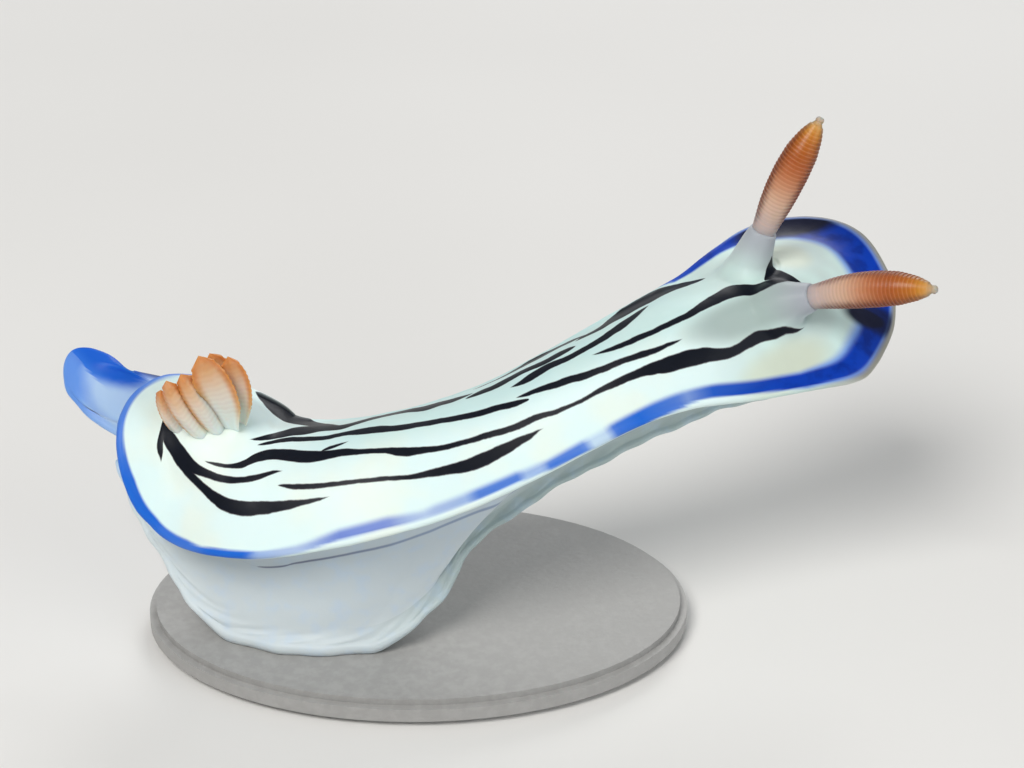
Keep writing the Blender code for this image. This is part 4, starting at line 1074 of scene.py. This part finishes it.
# %% The stripes
# along in mm, across as a share, half width in mm
STRIPES = {
    "apex_mark": ((1.5, 0.02, 0.0), (1.7, 0.14, 0.2), (1.9, 0.26, 0.28), (2.1, 0.36, 0.21),
        (2.4, 0.44, 0.09), (2.6, 0.51, 0.0)),
    "rear_upper": ((1.5, 0.04, 0.0), (1.8, 0.13, 0.18), (2.2, 0.2, 0.3), (2.6, 0.24, 0.31),
        (3.1, 0.27, 0.31), (4.0, 0.29, 0.26), (5.1, 0.3, 0.17), (6.0, 0.32, 0.15), (6.7, 0.31, 0.14),
        (7.3, 0.27, 0.13), (7.8, 0.24, 0.09), (8.4, 0.23, 0.0)),
    "rear_lower": ((2.3, 0.26, 0.0), (2.8, 0.3, 0.18), (3.5, 0.34, 0.17), (4.5, 0.38, 0.16),
        (5.3, 0.44, 0.16), (5.9, 0.51, 0.21), (6.4, 0.57, 0.25), (6.9, 0.6, 0.27), (7.4, 0.6, 0.25),
        (7.9, 0.6, 0.21), (8.5, 0.6, 0.17), (9.1, 0.6, 0.11), (9.7, 0.6, 0.06), (10.3, 0.6, 0.0)),
    "lower_side": ((8.1, 0.39, 0.0), (8.7, 0.42, 0.1), (9.3, 0.45, 0.11), (10.1, 0.48, 0.1),
        (10.9, 0.5, 0.09), (11.9, 0.54, 0.09), (12.7, 0.58, 0.09), (13.4, 0.61, 0.12),
        (14.2, 0.63, 0.17), (14.8, 0.65, 0.21), (15.6, 0.66, 0.23), (16.5, 0.65, 0.21),
        (17.2, 0.64, 0.17), (17.8, 0.63, 0.12), (18.8, 0.62, 0.0)),
    "upper_side": ((4.7, 0.18, 0.0), (5.4, 0.17, 0.08), (6.0, 0.16, 0.11), (6.5, 0.12, 0.21),
        (6.8, 0.05, 0.27), (7.2, 0.0, 0.29), (7.9, 0.0, 0.29), (8.6, 0.04, 0.33), (9.2, 0.09, 0.31),
        (9.8, 0.12, 0.26), (10.2, 0.13, 0.22), (10.9, 0.15, 0.19), (11.5, 0.19, 0.14),
        (12.2, 0.23, 0.13), (12.8, 0.3, 0.21), (13.5, 0.34, 0.16), (14.4, 0.39, 0.12),
        (15.4, 0.41, 0.11), (16.5, 0.44, 0.13), (17.5, 0.47, 0.13), (18.5, 0.47, 0.12),
        (19.5, 0.51, 0.1), (20.3, 0.52, 0.07), (20.9, 0.52, 0.08), (21.4, 0.51, 0.11),
        (22.2, 0.5, 0.14), (22.9, 0.5, 0.16), (23.5, 0.51, 0.22), (24.0, 0.52, 0.0)),
    "neck_side": ((22.5, 0.5, 0.0), (22.8, 0.5, 0.06), (23.3, 0.5, 0.2), (23.8, 0.52, 0.26),
        (24.3, 0.52, 0.29), (24.8, 0.52, 0.3), (25.4, 0.53, 0.28), (26.0, 0.55, 0.21),
        (26.8, 0.53, 0.17), (27.4, 0.49, 0.19), (27.9, 0.46, 0.21), (28.5, 0.47, 0.16),
        (29.0, 0.48, 0.11), (29.5, 0.48, 0.08), (30.1, 0.45, 0.0)),
    "crest_upper": ((6.1, -0.2, 0.0), (6.8, -0.26, 0.16), (7.5, -0.36, 0.31), (8.1, -0.45, 0.48),
        (8.8, -0.48, 0.54), (9.6, -0.45, 0.37), (10.5, -0.39, 0.3), (11.3, -0.45, 0.28),
        (12.3, -0.57, 0.4), (13.5, -0.6, 0.55), (14.3, -0.46, 0.42), (15.0, -0.47, 0.4),
        (15.8, -0.42, 0.27), (16.7, -0.44, 0.0)),
    "crest_lower": ((6.7, -0.14, 0.0), (7.3, -0.2, 0.13), (8.1, -0.25, 0.18), (9.0, -0.22, 0.19),
        (9.9, -0.17, 0.16), (10.8, -0.18, 0.17), (11.5, -0.15, 0.24), (12.2, -0.12, 0.27),
        (12.9, -0.06, 0.21), (13.7, -0.03, 0.18), (14.7, 0.01, 0.18), (15.8, 0.07, 0.17),
        (16.7, 0.11, 0.16), (17.4, 0.14, 0.16), (18.0, 0.18, 0.15), (18.7, 0.21, 0.0)),
    "crest_twig": ((9.7, 0.08, 0.0), (10.1, 0.04, 0.09), (10.6, 0.01, 0.08), (11.1, -0.02, 0.0)),
    "crest_inner": ((16.1, -0.29, 0.0), (16.8, -0.34, 0.22), (17.6, -0.35, 0.27), (18.4, -0.4, 0.26),
        (19.1, -0.42, 0.24), (19.9, -0.4, 0.25), (20.7, -0.43, 0.24), (21.4, -0.43, 0.0)),
    "skyline": ((16.6, -0.68, 0.0), (17.6, -0.76, 0.32), (18.8, -0.84, 0.38), (20.2, -0.85, 0.36),
        (21.2, -0.8, 0.28), (22.2, -0.64, 0.0)),
    "rear_crest": ((4.1, -1.0, 0.0), (4.9, -0.98, 0.42), (5.8, -0.96, 0.64), (6.7, -0.94, 0.7),
        (7.6, -0.9, 0.66), (8.5, -0.8, 0.54), (9.4, -0.64, 0.36), (10.5, -0.46, 0.0)),
    "neck_middle": ((18.1, 0.1, 0.0), (18.6, 0.12, 0.09), (19.2, 0.14, 0.14), (20.1, 0.18, 0.17),
        (21.0, 0.23, 0.17), (21.8, 0.26, 0.14), (22.6, 0.27, 0.12), (23.3, 0.29, 0.14),
        (23.9, 0.3, 0.1), (24.4, 0.28, 0.07), (24.9, 0.26, 0.0)),
    "nape": ((21.6, -0.04, 0.0), (22.2, 0.01, 0.09), (22.8, 0.03, 0.13), (23.5, 0.02, 0.15),
        (24.1, 0.01, 0.14), (24.8, -0.01, 0.15), (25.5, -0.04, 0.17), (26.1, -0.09, 0.22),
        (26.8, -0.12, 0.28), (27.4, -0.14, 0.33), (28.1, -0.13, 0.4), (28.5, -0.07, 0.38),
        (29.0, -0.02, 0.27), (29.6, -0.02, 0.17), (30.1, 0.0, 0.1), (30.3, 0.02, 0.0)),
    "nape_mark": ((29.3, -0.07, 0.0), (29.7, -0.12, 0.4), (30.0, -0.07, 0.72), (30.3, 0.0, 0.6),
        (30.6, 0.06, 0.3), (30.8, 0.1, 0.0)),
    "far_line": ((18.1, -0.14, 0.0), (18.7, -0.14, 0.17), (19.3, -0.18, 0.27), (20.0, -0.22, 0.25),
        (20.7, -0.2, 0.21), (21.4, -0.22, 0.19), (22.2, -0.26, 0.2), (22.8, -0.32, 0.24),
        (23.4, -0.4, 0.25), (24.0, -0.5, 0.19), (24.8, -0.62, 0.0)),
    "far_broad": ((21.4, -0.61, 0.0), (21.9, -0.64, 0.17), (22.5, -0.63, 0.25), (23.2, -0.74, 0.39),
        (23.8, -0.81, 0.5), (24.5, -0.84, 0.5), (25.1, -0.85, 0.5), (25.8, -0.86, 0.46),
        (26.4, -0.84, 0.38), (26.9, -0.78, 0.3), (27.4, -0.7, 0.18), (27.9, -0.64, 0.0)),
}
print("stripes:", len(STRIPES))

# %% [markdown]
# The next helpers turn one list into nodes. They give how far a point lies inside the
# stripe, in millimetres, so the finish can draw a sharp or a soft edge from it.

# %% A stripe as nodes
CURVE_REACH = 5.0            # the curves' 0 to 1 stands for -5 mm to 5 mm across
WIDTH_REACH = 1.0            # and for -0.1 mm to 0.9 mm of half width
WIDTH_FLOOR = -0.1
BLUNT_END = -0.04            # half width at a stripe's two ends, under 0 so that it has faded out


def float_curve(tree, value, points):
    node = tree.nodes.new("ShaderNodeFloatCurve")
    curve = node.mapping.curves[0]
    while len(curve.points) < len(points):
        curve.points.new(0.5, 0.5)
    for knot, (x, y) in zip(curve.points, points):
        knot.location = (x, y)
        knot.handle_type = "AUTO"
    node.mapping.update()
    tree.links.new(value, node.inputs["Value"])
    return node.outputs[0]


def stripe(tree, along, across, knots, local_width):
    """How far a point lies inside one stripe, in mm; less than 0 outside it."""
    start, end = knots[0][0], knots[-1][0]
    x = ranged(tree, along, start, end, smooth=False)
    shares = [(place - start) / (end - start) for place, share, half in knots]
    middles = [(share * local_width(place) + CURVE_REACH) / (2 * CURVE_REACH) for place, share, half in knots]
    halves = [((half or BLUNT_END) - WIDTH_FLOOR) / WIDTH_REACH for place, share, half in knots]
    middle = float_curve(tree, x, list(zip(shares, middles)))
    half = float_curve(tree, x, list(zip(shares, halves)))
    centre = calc(tree, "MULTIPLY_ADD", middle, 2 * CURVE_REACH, -CURVE_REACH)
    away = calc(tree, "ABSOLUTE", calc(tree, "SUBTRACT", across, centre))
    width = calc(tree, "MULTIPLY_ADD", half, WIDTH_REACH, WIDTH_FLOOR)
    return calc(tree, "SUBTRACT", width, away)


def back_width(place):
    places = np.array([STRIPE_INSET, place, BACK.length - STRIPE_INSET])
    close = closing(places, REAR_ROUND, FRONT_ROUND)[1]
    return float((BACK.at(place)[0][0, 3] - STRIPE_INSET) * close)


print("half width of the back at the gills, mm:", round(back_width(GILL_ROOT[0]), 2))

# %% [markdown]
# The skin is milky white with a cool cast, creamy in places, greyer and clearer over the
# neck, the collars, the flanks and the foot. Light enters it and comes out a little way
# off, which is what the subsurface part of the shader does. First we choose the colours.

# %% Colours of the skin
MILK, CREAM, COOL = (0.74, 0.89, 0.88), (0.84, 0.87, 0.74), (0.5, 0.7, 0.69)
# painted shade: the head's milk, mint and cream are its own tints, painted darker for the light that falls
# off towards the head
SHADED_HEAD_MILK, SHADED_HEAD_MINT, SHADED_HEAD_CREAM = (0.56, 0.68, 0.65), (0.62, 0.79, 0.75), (0.62, 0.63, 0.46)
CLEAR_GREY, COLLAR_GREY = (0.36, 0.44, 0.42), (0.38, 0.39, 0.44)
FLESH_TOP, FLESH_LOW, FLESH_FRONT = (0.53, 0.61, 0.67), (0.6, 0.66, 0.68), (0.4, 0.48, 0.48)
EDGE_BLUE, DEEP_BLUE, VIOLET = (0.014, 0.14, 0.62), (0.002, 0.045, 0.42), (0.09, 0.17, 0.6)
NAVY, BRIGHT_BLUE = (0.001, 0.02, 0.22), (0.006, 0.15, 0.7)
INK, INK_EDGE = (0.004, 0.006, 0.012), (0.03, 0.02, 0.03)
MARK_BLACK = (0.008, 0.01, 0.03)
LINE_DARK, LINE_PALE = (0.12, 0.13, 0.22), (0.24, 0.31, 0.45)
RIM_GREY, RIM_BRIGHT = (0.29, 0.285, 0.245), (0.8, 0.8, 0.74)
TAIL_BLUE, TAIL_DEEP, TAIL_PALE = (0.05, 0.22, 0.72), (0.012, 0.12, 0.6), (0.46, 0.62, 0.84)
print("colours of the stripes and of the milky skin:", INK, MILK)

# %% [markdown]
# The finish starts with the pale skin. Noise on the object's own coordinates makes the
# cream patches, and the notes on the points say where the back turns into the head, the
# collars and the flank. The head's milk, mint and cream are the skin's own tints, but they
# are also painted darker: that darkening is painted shade, for the light falling off there.

# %% Pale skin
# the cream ovals on the head take its darker cream, which holds painted shade
# along and across the back, in mm; half length, half breadth, strength, colour
HEAD_OVALS = ((28.6, 3.0, 2.2, 0.9, 0.55, SHADED_HEAD_CREAM), (31.2, -1.6, 1.0, 1.2, 0.5, SHADED_HEAD_CREAM),
              (27.7, 0.75, 2.9, 0.9, 0.85, CLEAR_GREY))

skin_finish, tree = new_finish(
    "moist_striped_skin", Roughness=0.4, Subsurface_Weight=0.45, Subsurface_Scale=0.0005,
    Subsurface_Radius=(0.9, 1.0, 1.1), Specular_IOR_Level=0.13,
    Coat_Weight=0.03, Coat_Roughness=0.2, Coat_IOR=1.36)
along, across, top, flank, foot, veiled = [
    attribute(tree, name) for name in ("along", "across", "top", "flank", "foot", "veil")]
patches = clouded(tree, 2.6, 2.0)
fine_patches = clouded(tree, 0.7, 3.0)


def oval_spot(place, across_mm, half_length, half_breadth):
    """1 in the middle of a soft oval on the back, 0 outside it."""
    x = calc(tree, "DIVIDE", calc(tree, "SUBTRACT", along, place), half_length)
    y = calc(tree, "DIVIDE", calc(tree, "SUBTRACT", across, across_mm), half_breadth)
    square = calc(tree, "MULTIPLY_ADD", x, x, product(tree, y, y))
    return ranged(tree, square, 1.4, 0.2)


colour = mixed(tree, ranged(tree, patches, 0.4, 0.68, 0.0, 0.45), MILK, CREAM)
mid_back = product(tree, ranged(tree, across, 1.4, -0.4), ranged(tree, along, 6.5, 12.0))
colour = mixed(tree, product(tree, mid_back, 0.75), colour, COOL)
# the head's colours, darker than the back's as painted shade where the light falls off
shaded_head_colour = mixed(tree, ranged(tree, patches, 0.35, 0.65), SHADED_HEAD_MILK, SHADED_HEAD_MINT)
colour = mixed(tree, ranged(tree, along, 24.5, 29.0), colour, shaded_head_colour)
for *oval, strength, tint in HEAD_OVALS:
    colour = mixed(tree, product(tree, oval_spot(*oval), strength), colour, tint)
colour = mixed(tree, ranged(tree, veiled, 0.2, 0.76, 0.0, 0.85), colour, COLLAR_GREY)

flesh = mixed(tree, ranged(tree, flank, -0.2, 1.2), FLESH_TOP, FLESH_LOW)
flesh = mixed(tree, ranged(tree, along, 17.0, 24.0), flesh, FLESH_FRONT)
flesh = mixed(tree, ranged(tree, fine_patches, 0.45, 0.75, 0.0, 0.25), flesh, TAIL_PALE)
colour = mixed(tree, ranged(tree, flank, -0.45, 0.1), colour, flesh)

print("nodes of the pale skin:", len(tree.nodes))

# %% [markdown]
# Over the pale skin comes the blue of the margin. It is violet for a stretch in front of
# the gills, and deep with navy patches on the head, where its inner edge fades through a
# brighter blue. The clear rim lies under it, and the dark marks and the fine bright line
# of the edge lie on top.

# %% Blue margin and dark marks
blue_mask = attribute(tree, "blue")
violet_part = product(tree, ranged(tree, along, 7.4, 8.4), ranged(tree, along, 14.8, 13.2))
blue_colour = mixed(tree, violet_part, EDGE_BLUE, VIOLET)
blue_colour = mixed(tree, ranged(tree, along, 22.0, 29.0), blue_colour, DEEP_BLUE)
navy_patches = ranged(tree, fine_patches, 0.42, 0.66, 0.0, 0.7)
navy_part = product(tree, navy_patches, ranged(tree, along, 26.0, 30.0))
blue_colour = mixed(tree, navy_part, blue_colour, NAVY)
inner_fade = product(tree, ranged(tree, blue_mask, 1.0, 0.6), ranged(tree, along, 26.0, 30.0))
blue_colour = mixed(tree, inner_fade, blue_colour, BRIGHT_BLUE)
colour = mixed(tree, attribute(tree, "rim"), colour, RIM_GREY)
colour = mixed(tree, blue_mask, colour, blue_colour)
colour = mixed(tree, attribute(tree, "dark"), colour, MARK_BLACK)
colour = mixed(tree, product(tree, attribute(tree, "edge_line"), 0.6), colour, RIM_BRIGHT)
print("nodes with the margin:", len(tree.nodes))

# %% [markdown]
# Then the black stripes. A little noise added to the distance across makes their edges
# wander by a few hundredths of a millimetre, as ink does on wet paper. The largest of all
# the stripes' values says how far inside any of them a point lies.

# %% Black stripes
wander = calc(tree, "MULTIPLY_ADD", clouded(tree, 0.8, 3.0, 0.6), 0.12, -0.06)
wandering = calc(tree, "ADD", across, wander)
inside = None
for knots in STRIPES.values():
    one = stripe(tree, along, wandering, knots, back_width)
    inside = one if inside is None else calc(tree, "MAXIMUM", inside, one)
ink = mixed(tree, ranged(tree, inside, 0.0, 0.07), INK_EDGE, INK)
ink_mask = product(tree, ranged(tree, inside, -0.025, 0.03), top)
colour = mixed(tree, ink_mask, colour, ink)
print("nodes with the stripes:", len(tree.nodes))

# %% [markdown]
# A thin violet line runs along the flank, dark at the rear and pale at the front, and we
# draw it with the same helper. Last come the tail's blue and its dark spot.

# %% Line of the flank and colours of the tail
FLANK_DEPTH = 6.0            # mm down the flank, about
# along in mm, share of the way down the flank, half width in mm
FLANK_LINE = ((8.6, 0.47, 0.0), (8.9, 0.45, 0.05), (9.9, 0.36, 0.07), (11.3, 0.3, 0.07), (12.7, 0.27, 0.08),
              (13.6, 0.24, 0.08), (15.4, 0.22, 0.09), (16.5, 0.26, 0.09), (18.3, 0.42, 0.1),
              (20.5, 0.65, 0.1), (22.8, 0.8, 0.1), (25.5, 0.84, 0.08), (26.5, 0.85, 0.0))

flank_mm = product(tree, flank, FLANK_DEPTH)
flank_knots = [(place, v * FLANK_DEPTH, half) for place, v, half in FLANK_LINE]
flank_inside = stripe(tree, along, flank_mm, flank_knots, lambda place: 1.0)
on_flank_only = ranged(tree, flank, -0.02, 0.02)
flank_mask = product(tree, ranged(tree, flank_inside, -0.07, 0.05, 0.0, 0.85), on_flank_only)
line_colour = mixed(tree, ranged(tree, along, 9.5, 14.0), LINE_DARK, LINE_PALE)
colour = mixed(tree, flank_mask, colour, line_colour)

tail_pale = product(tree, foot, ranged(tree, along, 8.5, 4.5))
colour = mixed(tree, tail_pale, colour, TAIL_PALE)
tail_colour = mixed(tree, ranged(tree, across, 0.4, -0.5), TAIL_BLUE, TAIL_DEEP)
colour = mixed(tree, attribute(tree, "tail_blue"), colour, tail_colour)
colour = mixed(tree, attribute(tree, "tail_dark"), colour, INK)
complete(skin_finish, colour, clouded(tree, 0.18, 3.0, 0.6), 0.01, 0.5, skin)
print("skin nodes:", len(tree.nodes))

# %% [markdown]
# A rhinophore is grey and clear at the stalk, rust orange over the club and yellow orange
# near the tip, with a clear knob. A pale pink band runs up the side that faces the viewer
# and fades out halfway. The grooves between the leaves are darker than their crests.

# %% Finish of the rhinophores
# share of the length, colour
CLUB_SIDES = (
    (0.0, (0.34, 0.32, 0.35)), (0.1, (0.24, 0.15, 0.13)), (0.3, (0.2, 0.065, 0.03)),
    (0.55, (0.19, 0.036, 0.005)), (0.75, (0.22, 0.048, 0.004)), (0.88, (0.3, 0.1, 0.006)),
    (0.955, (0.36, 0.3, 0.18)), (0.985, (0.34, 0.34, 0.3)))
CLUB_BAND = (
    (0.0, (0.4, 0.38, 0.41)), (0.08, (0.52, 0.4, 0.37)), (0.26, (0.68, 0.48, 0.35)),
    (0.46, (0.5, 0.17, 0.055)), (0.64, (0.34, 0.065, 0.007)), (0.82, (0.46, 0.14, 0.005)),
    (0.92, (0.62, 0.3, 0.025)), (0.985, (0.38, 0.38, 0.34)))
GROOVE_BROWN, CREST_PINK = (0.2, 0.06, 0.02), (0.85, 0.55, 0.36)

club_finish, tree = new_finish(
    "rhinophore_leaves", Roughness=0.42, Subsurface_Weight=0.5, Subsurface_Scale=0.0005,
    Subsurface_Radius=(1.0, 0.5, 0.25), Specular_IOR_Level=0.3, Coat_Weight=0.12, Coat_Roughness=0.25)
length, front, ridge = [attribute(tree, name) for name in ("length", "front", "ridge")]
sides = colours(tree, length, CLUB_SIDES)
band = colours(tree, length, CLUB_BAND)
wavy_front = calc(tree, "ADD", front, calc(tree, "MULTIPLY_ADD", clouded(tree, 0.35, 2.0), 0.3, -0.15))
band_mask = ranged(tree, wavy_front, 0.35, 0.92)
colour = mixed(tree, band_mask, sides, band)
groove = product(tree, ranged(tree, ridge, 0.75, 0.1), ranged(tree, length, 0.1, 0.2))
colour = mixed(tree, product(tree, groove, 0.12), colour, GROOVE_BROWN)
crest = product(tree, ranged(tree, ridge, 0.8, 1.0, 0.0, 0.1), ranged(tree, length, 0.95, 0.8))
colour = mixed(tree, crest, colour, CREST_PINK)
complete(club_finish, colour, clouded(tree, 0.12, 3.0), 0.01, 0.6, *clubs)
print("rhinophore nodes:", len(tree.nodes))

# %% [markdown]
# The gill plumes have orange brown edges and tips, a pale and nearly clear middle, and
# white bases that run into the skin of the mound.

# %% Finish of the gills
# share of the length, colour
GILL_EDGES = (
    (0.0, (0.7, 0.8, 0.79)), (0.2, (0.68, 0.64, 0.5)), (0.36, (0.62, 0.32, 0.1)), (0.7, (0.6, 0.23, 0.05)),
    (1.0, (0.5, 0.18, 0.04)))
GILL_MIDDLES = (
    (0.0, (0.72, 0.84, 0.82)), (0.35, (0.76, 0.78, 0.72)), (0.6, (0.76, 0.64, 0.52)),
    (0.82, (0.66, 0.36, 0.14)), (1.0, (0.54, 0.2, 0.05)))
NOTCH_BROWN, CLOUD_CREAM = (0.34, 0.11, 0.04), (0.74, 0.6, 0.45)

gill_finish, tree = new_finish(
    "gill_plumes", Roughness=0.4, Subsurface_Weight=0.6, Subsurface_Scale=0.0005,
    Subsurface_Radius=(1.0, 0.6, 0.35), Specular_IOR_Level=0.4, Coat_Weight=0.2, Coat_Roughness=0.25)
length, edge, notch = [attribute(tree, name) for name in ("length", "edge", "notch")]
edges = colours(tree, length, GILL_EDGES)
middles = colours(tree, length, GILL_MIDDLES)
colour = mixed(tree, ranged(tree, edge, 0.45, 0.9), middles, edges)
colour = mixed(tree, product(tree, notch, 0.08), colour, NOTCH_BROWN)
colour = mixed(tree, ranged(tree, clouded(tree, 0.4, 2.0), 0.5, 0.75, 0.0, 0.2), colour, CLOUD_CREAM)
complete(gill_finish, colour, clouded(tree, 0.12, 3.0), 0.012, 0.5, gills)
print("gill nodes:", len(tree.nodes))

# %% [markdown]
# The oral tentacles are of the same clear bluish flesh as the flank.

# %% Finish of the oral tentacles
TENTACLE_TIP = (0.5, 0.56, 0.66)
tentacle_finish, tree = new_finish(
    "tentacle_flesh", Roughness=0.42, Subsurface_Weight=0.6, Subsurface_Scale=0.0006,
    Subsurface_Radius=(0.9, 1.0, 1.0), Specular_IOR_Level=0.4, Coat_Weight=0.25, Coat_Roughness=0.22)
length = attribute(tree, "length")
colour = colours(tree, length, ((0.0, FLESH_TOP), (0.6, FLESH_LOW), (1.0, TENTACLE_TIP)))
colour = mixed(tree, ranged(tree, clouded(tree, 0.4), 0.4, 0.7, 0.0, 0.4), colour, CLEAR_GREY)
complete(tentacle_finish, colour, clouded(tree, 0.15, 3.0), 0.012, 0.5, *tentacles)
print("tentacle nodes:", len(tree.nodes))

# %% [markdown]
# The animal touches the ground with only a small part of its foot and would tip over its
# head, so it is fixed to a low oval stand. The stand keeps its own solid, and gets a calm
# matte finish like painted metal, with a faint grain and slightly worn edges.

# %% Finish of the stand
STAND_DARK, STAND_PALE, STAND_WORN = (0.33, 0.325, 0.315), (0.38, 0.375, 0.365), (0.48, 0.47, 0.46)
stand_finish, tree = new_finish("matte_stand", Specular_IOR_Level=0.35)
grain = clouded(tree, 0.5, 4.0, 0.65)
colour = mixed(tree, ranged(tree, grain, 0.35, 0.7), STAND_DARK, STAND_PALE)
shape_node = tree.nodes.new("ShaderNodeNewGeometry")
worn = ranged(tree, shape_node.outputs["Pointiness"], 0.52, 0.6, 0.0, 0.35)
colour = mixed(tree, worn, colour, STAND_WORN)
roughness = ranged(tree, grain, 0.3, 0.7, 0.48, 0.62)
tree.links.new(roughness, tree.nodes["Principled BSDF"].inputs["Roughness"])
complete(stand_finish, colour, clouded(tree, 0.25, 4.0), 0.02, 0.5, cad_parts["stand_base"])

# %% [markdown]
# The model stands on a plain pale floor, wide enough that its edge never shows. It is
# stage, and no part of the model, so we mark it as a backdrop.

# %% Floor
FLOOR_SIZE = 3.0             # metres
FLOOR_DARK, FLOOR_PALE = (0.74, 0.73, 0.71), (0.78, 0.77, 0.75)
nothing_selected()
bpy.ops.mesh.primitive_plane_add(size=FLOOR_SIZE, location=(0.0, 0.0, 0.0))
floor = bpy.context.object
floor.name = "studio_floor"
floor_finish, tree = new_finish("pale_floor", Roughness=0.8, Specular_IOR_Level=0.2)
colour = mixed(tree, ranged(tree, clouded(tree, 60.0), 0.3, 0.7), FLOOR_DARK, FLOOR_PALE)
tree.links.new(colour, tree.nodes["Principled BSDF"].inputs["Base Color"])
floor.data.materials.append(floor_finish)
floor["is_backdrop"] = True
print("floor, metres across:", FLOOR_SIZE)

# %% [markdown]
# A broad lamp above and to the left gives the main light, a second one fills from the
# right, and a third from behind draws a thin bright line along the back. A pale world
# lifts the shadows.

# %% Lights
AIM = Vector((0.001, -0.001, 0.009))
LAMPS = {
    "key": {"place": (-0.11, -0.16, 0.26), "size": 0.16, "watts": 0.72, "colour": (1.0, 0.985, 0.96)},
    "fill": {"place": (0.24, -0.18, 0.12), "size": 0.24, "watts": 0.3, "colour": (0.95, 0.98, 1.0)},
    "back": {"place": (0.05, 0.24, 0.16), "size": 0.16, "watts": 0.3, "colour": (1.0, 1.0, 1.0)},
}
for name, lamp in LAMPS.items():
    bpy.ops.object.light_add(type="AREA", location=lamp["place"])
    light = bpy.context.object
    light.name = name + "_light"
    light.data.shape = "DISK"
    light.data.size = lamp["size"]
    light.data.energy = lamp["watts"]
    light.data.color = lamp["colour"]
    light.rotation_euler = (AIM - Vector(lamp["place"])).to_track_quat("-Z", "Y").to_euler()

WORLD_COLOUR, WORLD_STRENGTH = (0.86, 0.88, 0.9, 1.0), 0.3
world = bpy.data.worlds.new("soft_room")
bpy.context.scene.world = world
world.use_nodes = True
background = world.node_tree.nodes["Background"]
background.inputs["Color"].default_value = WORLD_COLOUR
background.inputs["Strength"].default_value = WORLD_STRENGTH
bpy.context.scene.view_settings.view_transform = "Standard"
print("lamps:", len(LAMPS))

# %% [markdown]
# The camera looks down at thirty degrees from the near side, as the photograph does, with
# a long lens from close by. Nothing is out of focus.

# %% Camera
CAMERA_PLACE = Vector((1.09, -85.997, 60.876)) * MM
CAMERA_AIM = Vector((1.09, -2.243, 12.52)) * MM
camera_data = bpy.data.cameras.new("camera")
camera = bpy.data.objects.new("camera", camera_data)
bpy.context.scene.collection.objects.link(camera)
camera.location = CAMERA_PLACE
camera.rotation_euler = (CAMERA_AIM - CAMERA_PLACE).to_track_quat("-Z", "Y").to_euler()
camera_data.lens = 85
camera_data.sensor_width = 36
camera_data.clip_start = 0.001
camera_data.clip_end = 20
bpy.context.scene.camera = camera
print("camera is", round((CAMERA_AIM - CAMERA_PLACE).length * 1000, 1), "mm away")

# %% [markdown]
# At the end we compare the box that we kept with that of the finer pieces, and print how far
# the finer pieces grew past it.

# %% Compare the boxes and finish
finer_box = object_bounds()
growth = [round((b - a) * 1000, 2) for low, high in zip(solid_box, finer_box) for a, b in zip(low, high)]
print("growth past the solids' box, mm:", growth)
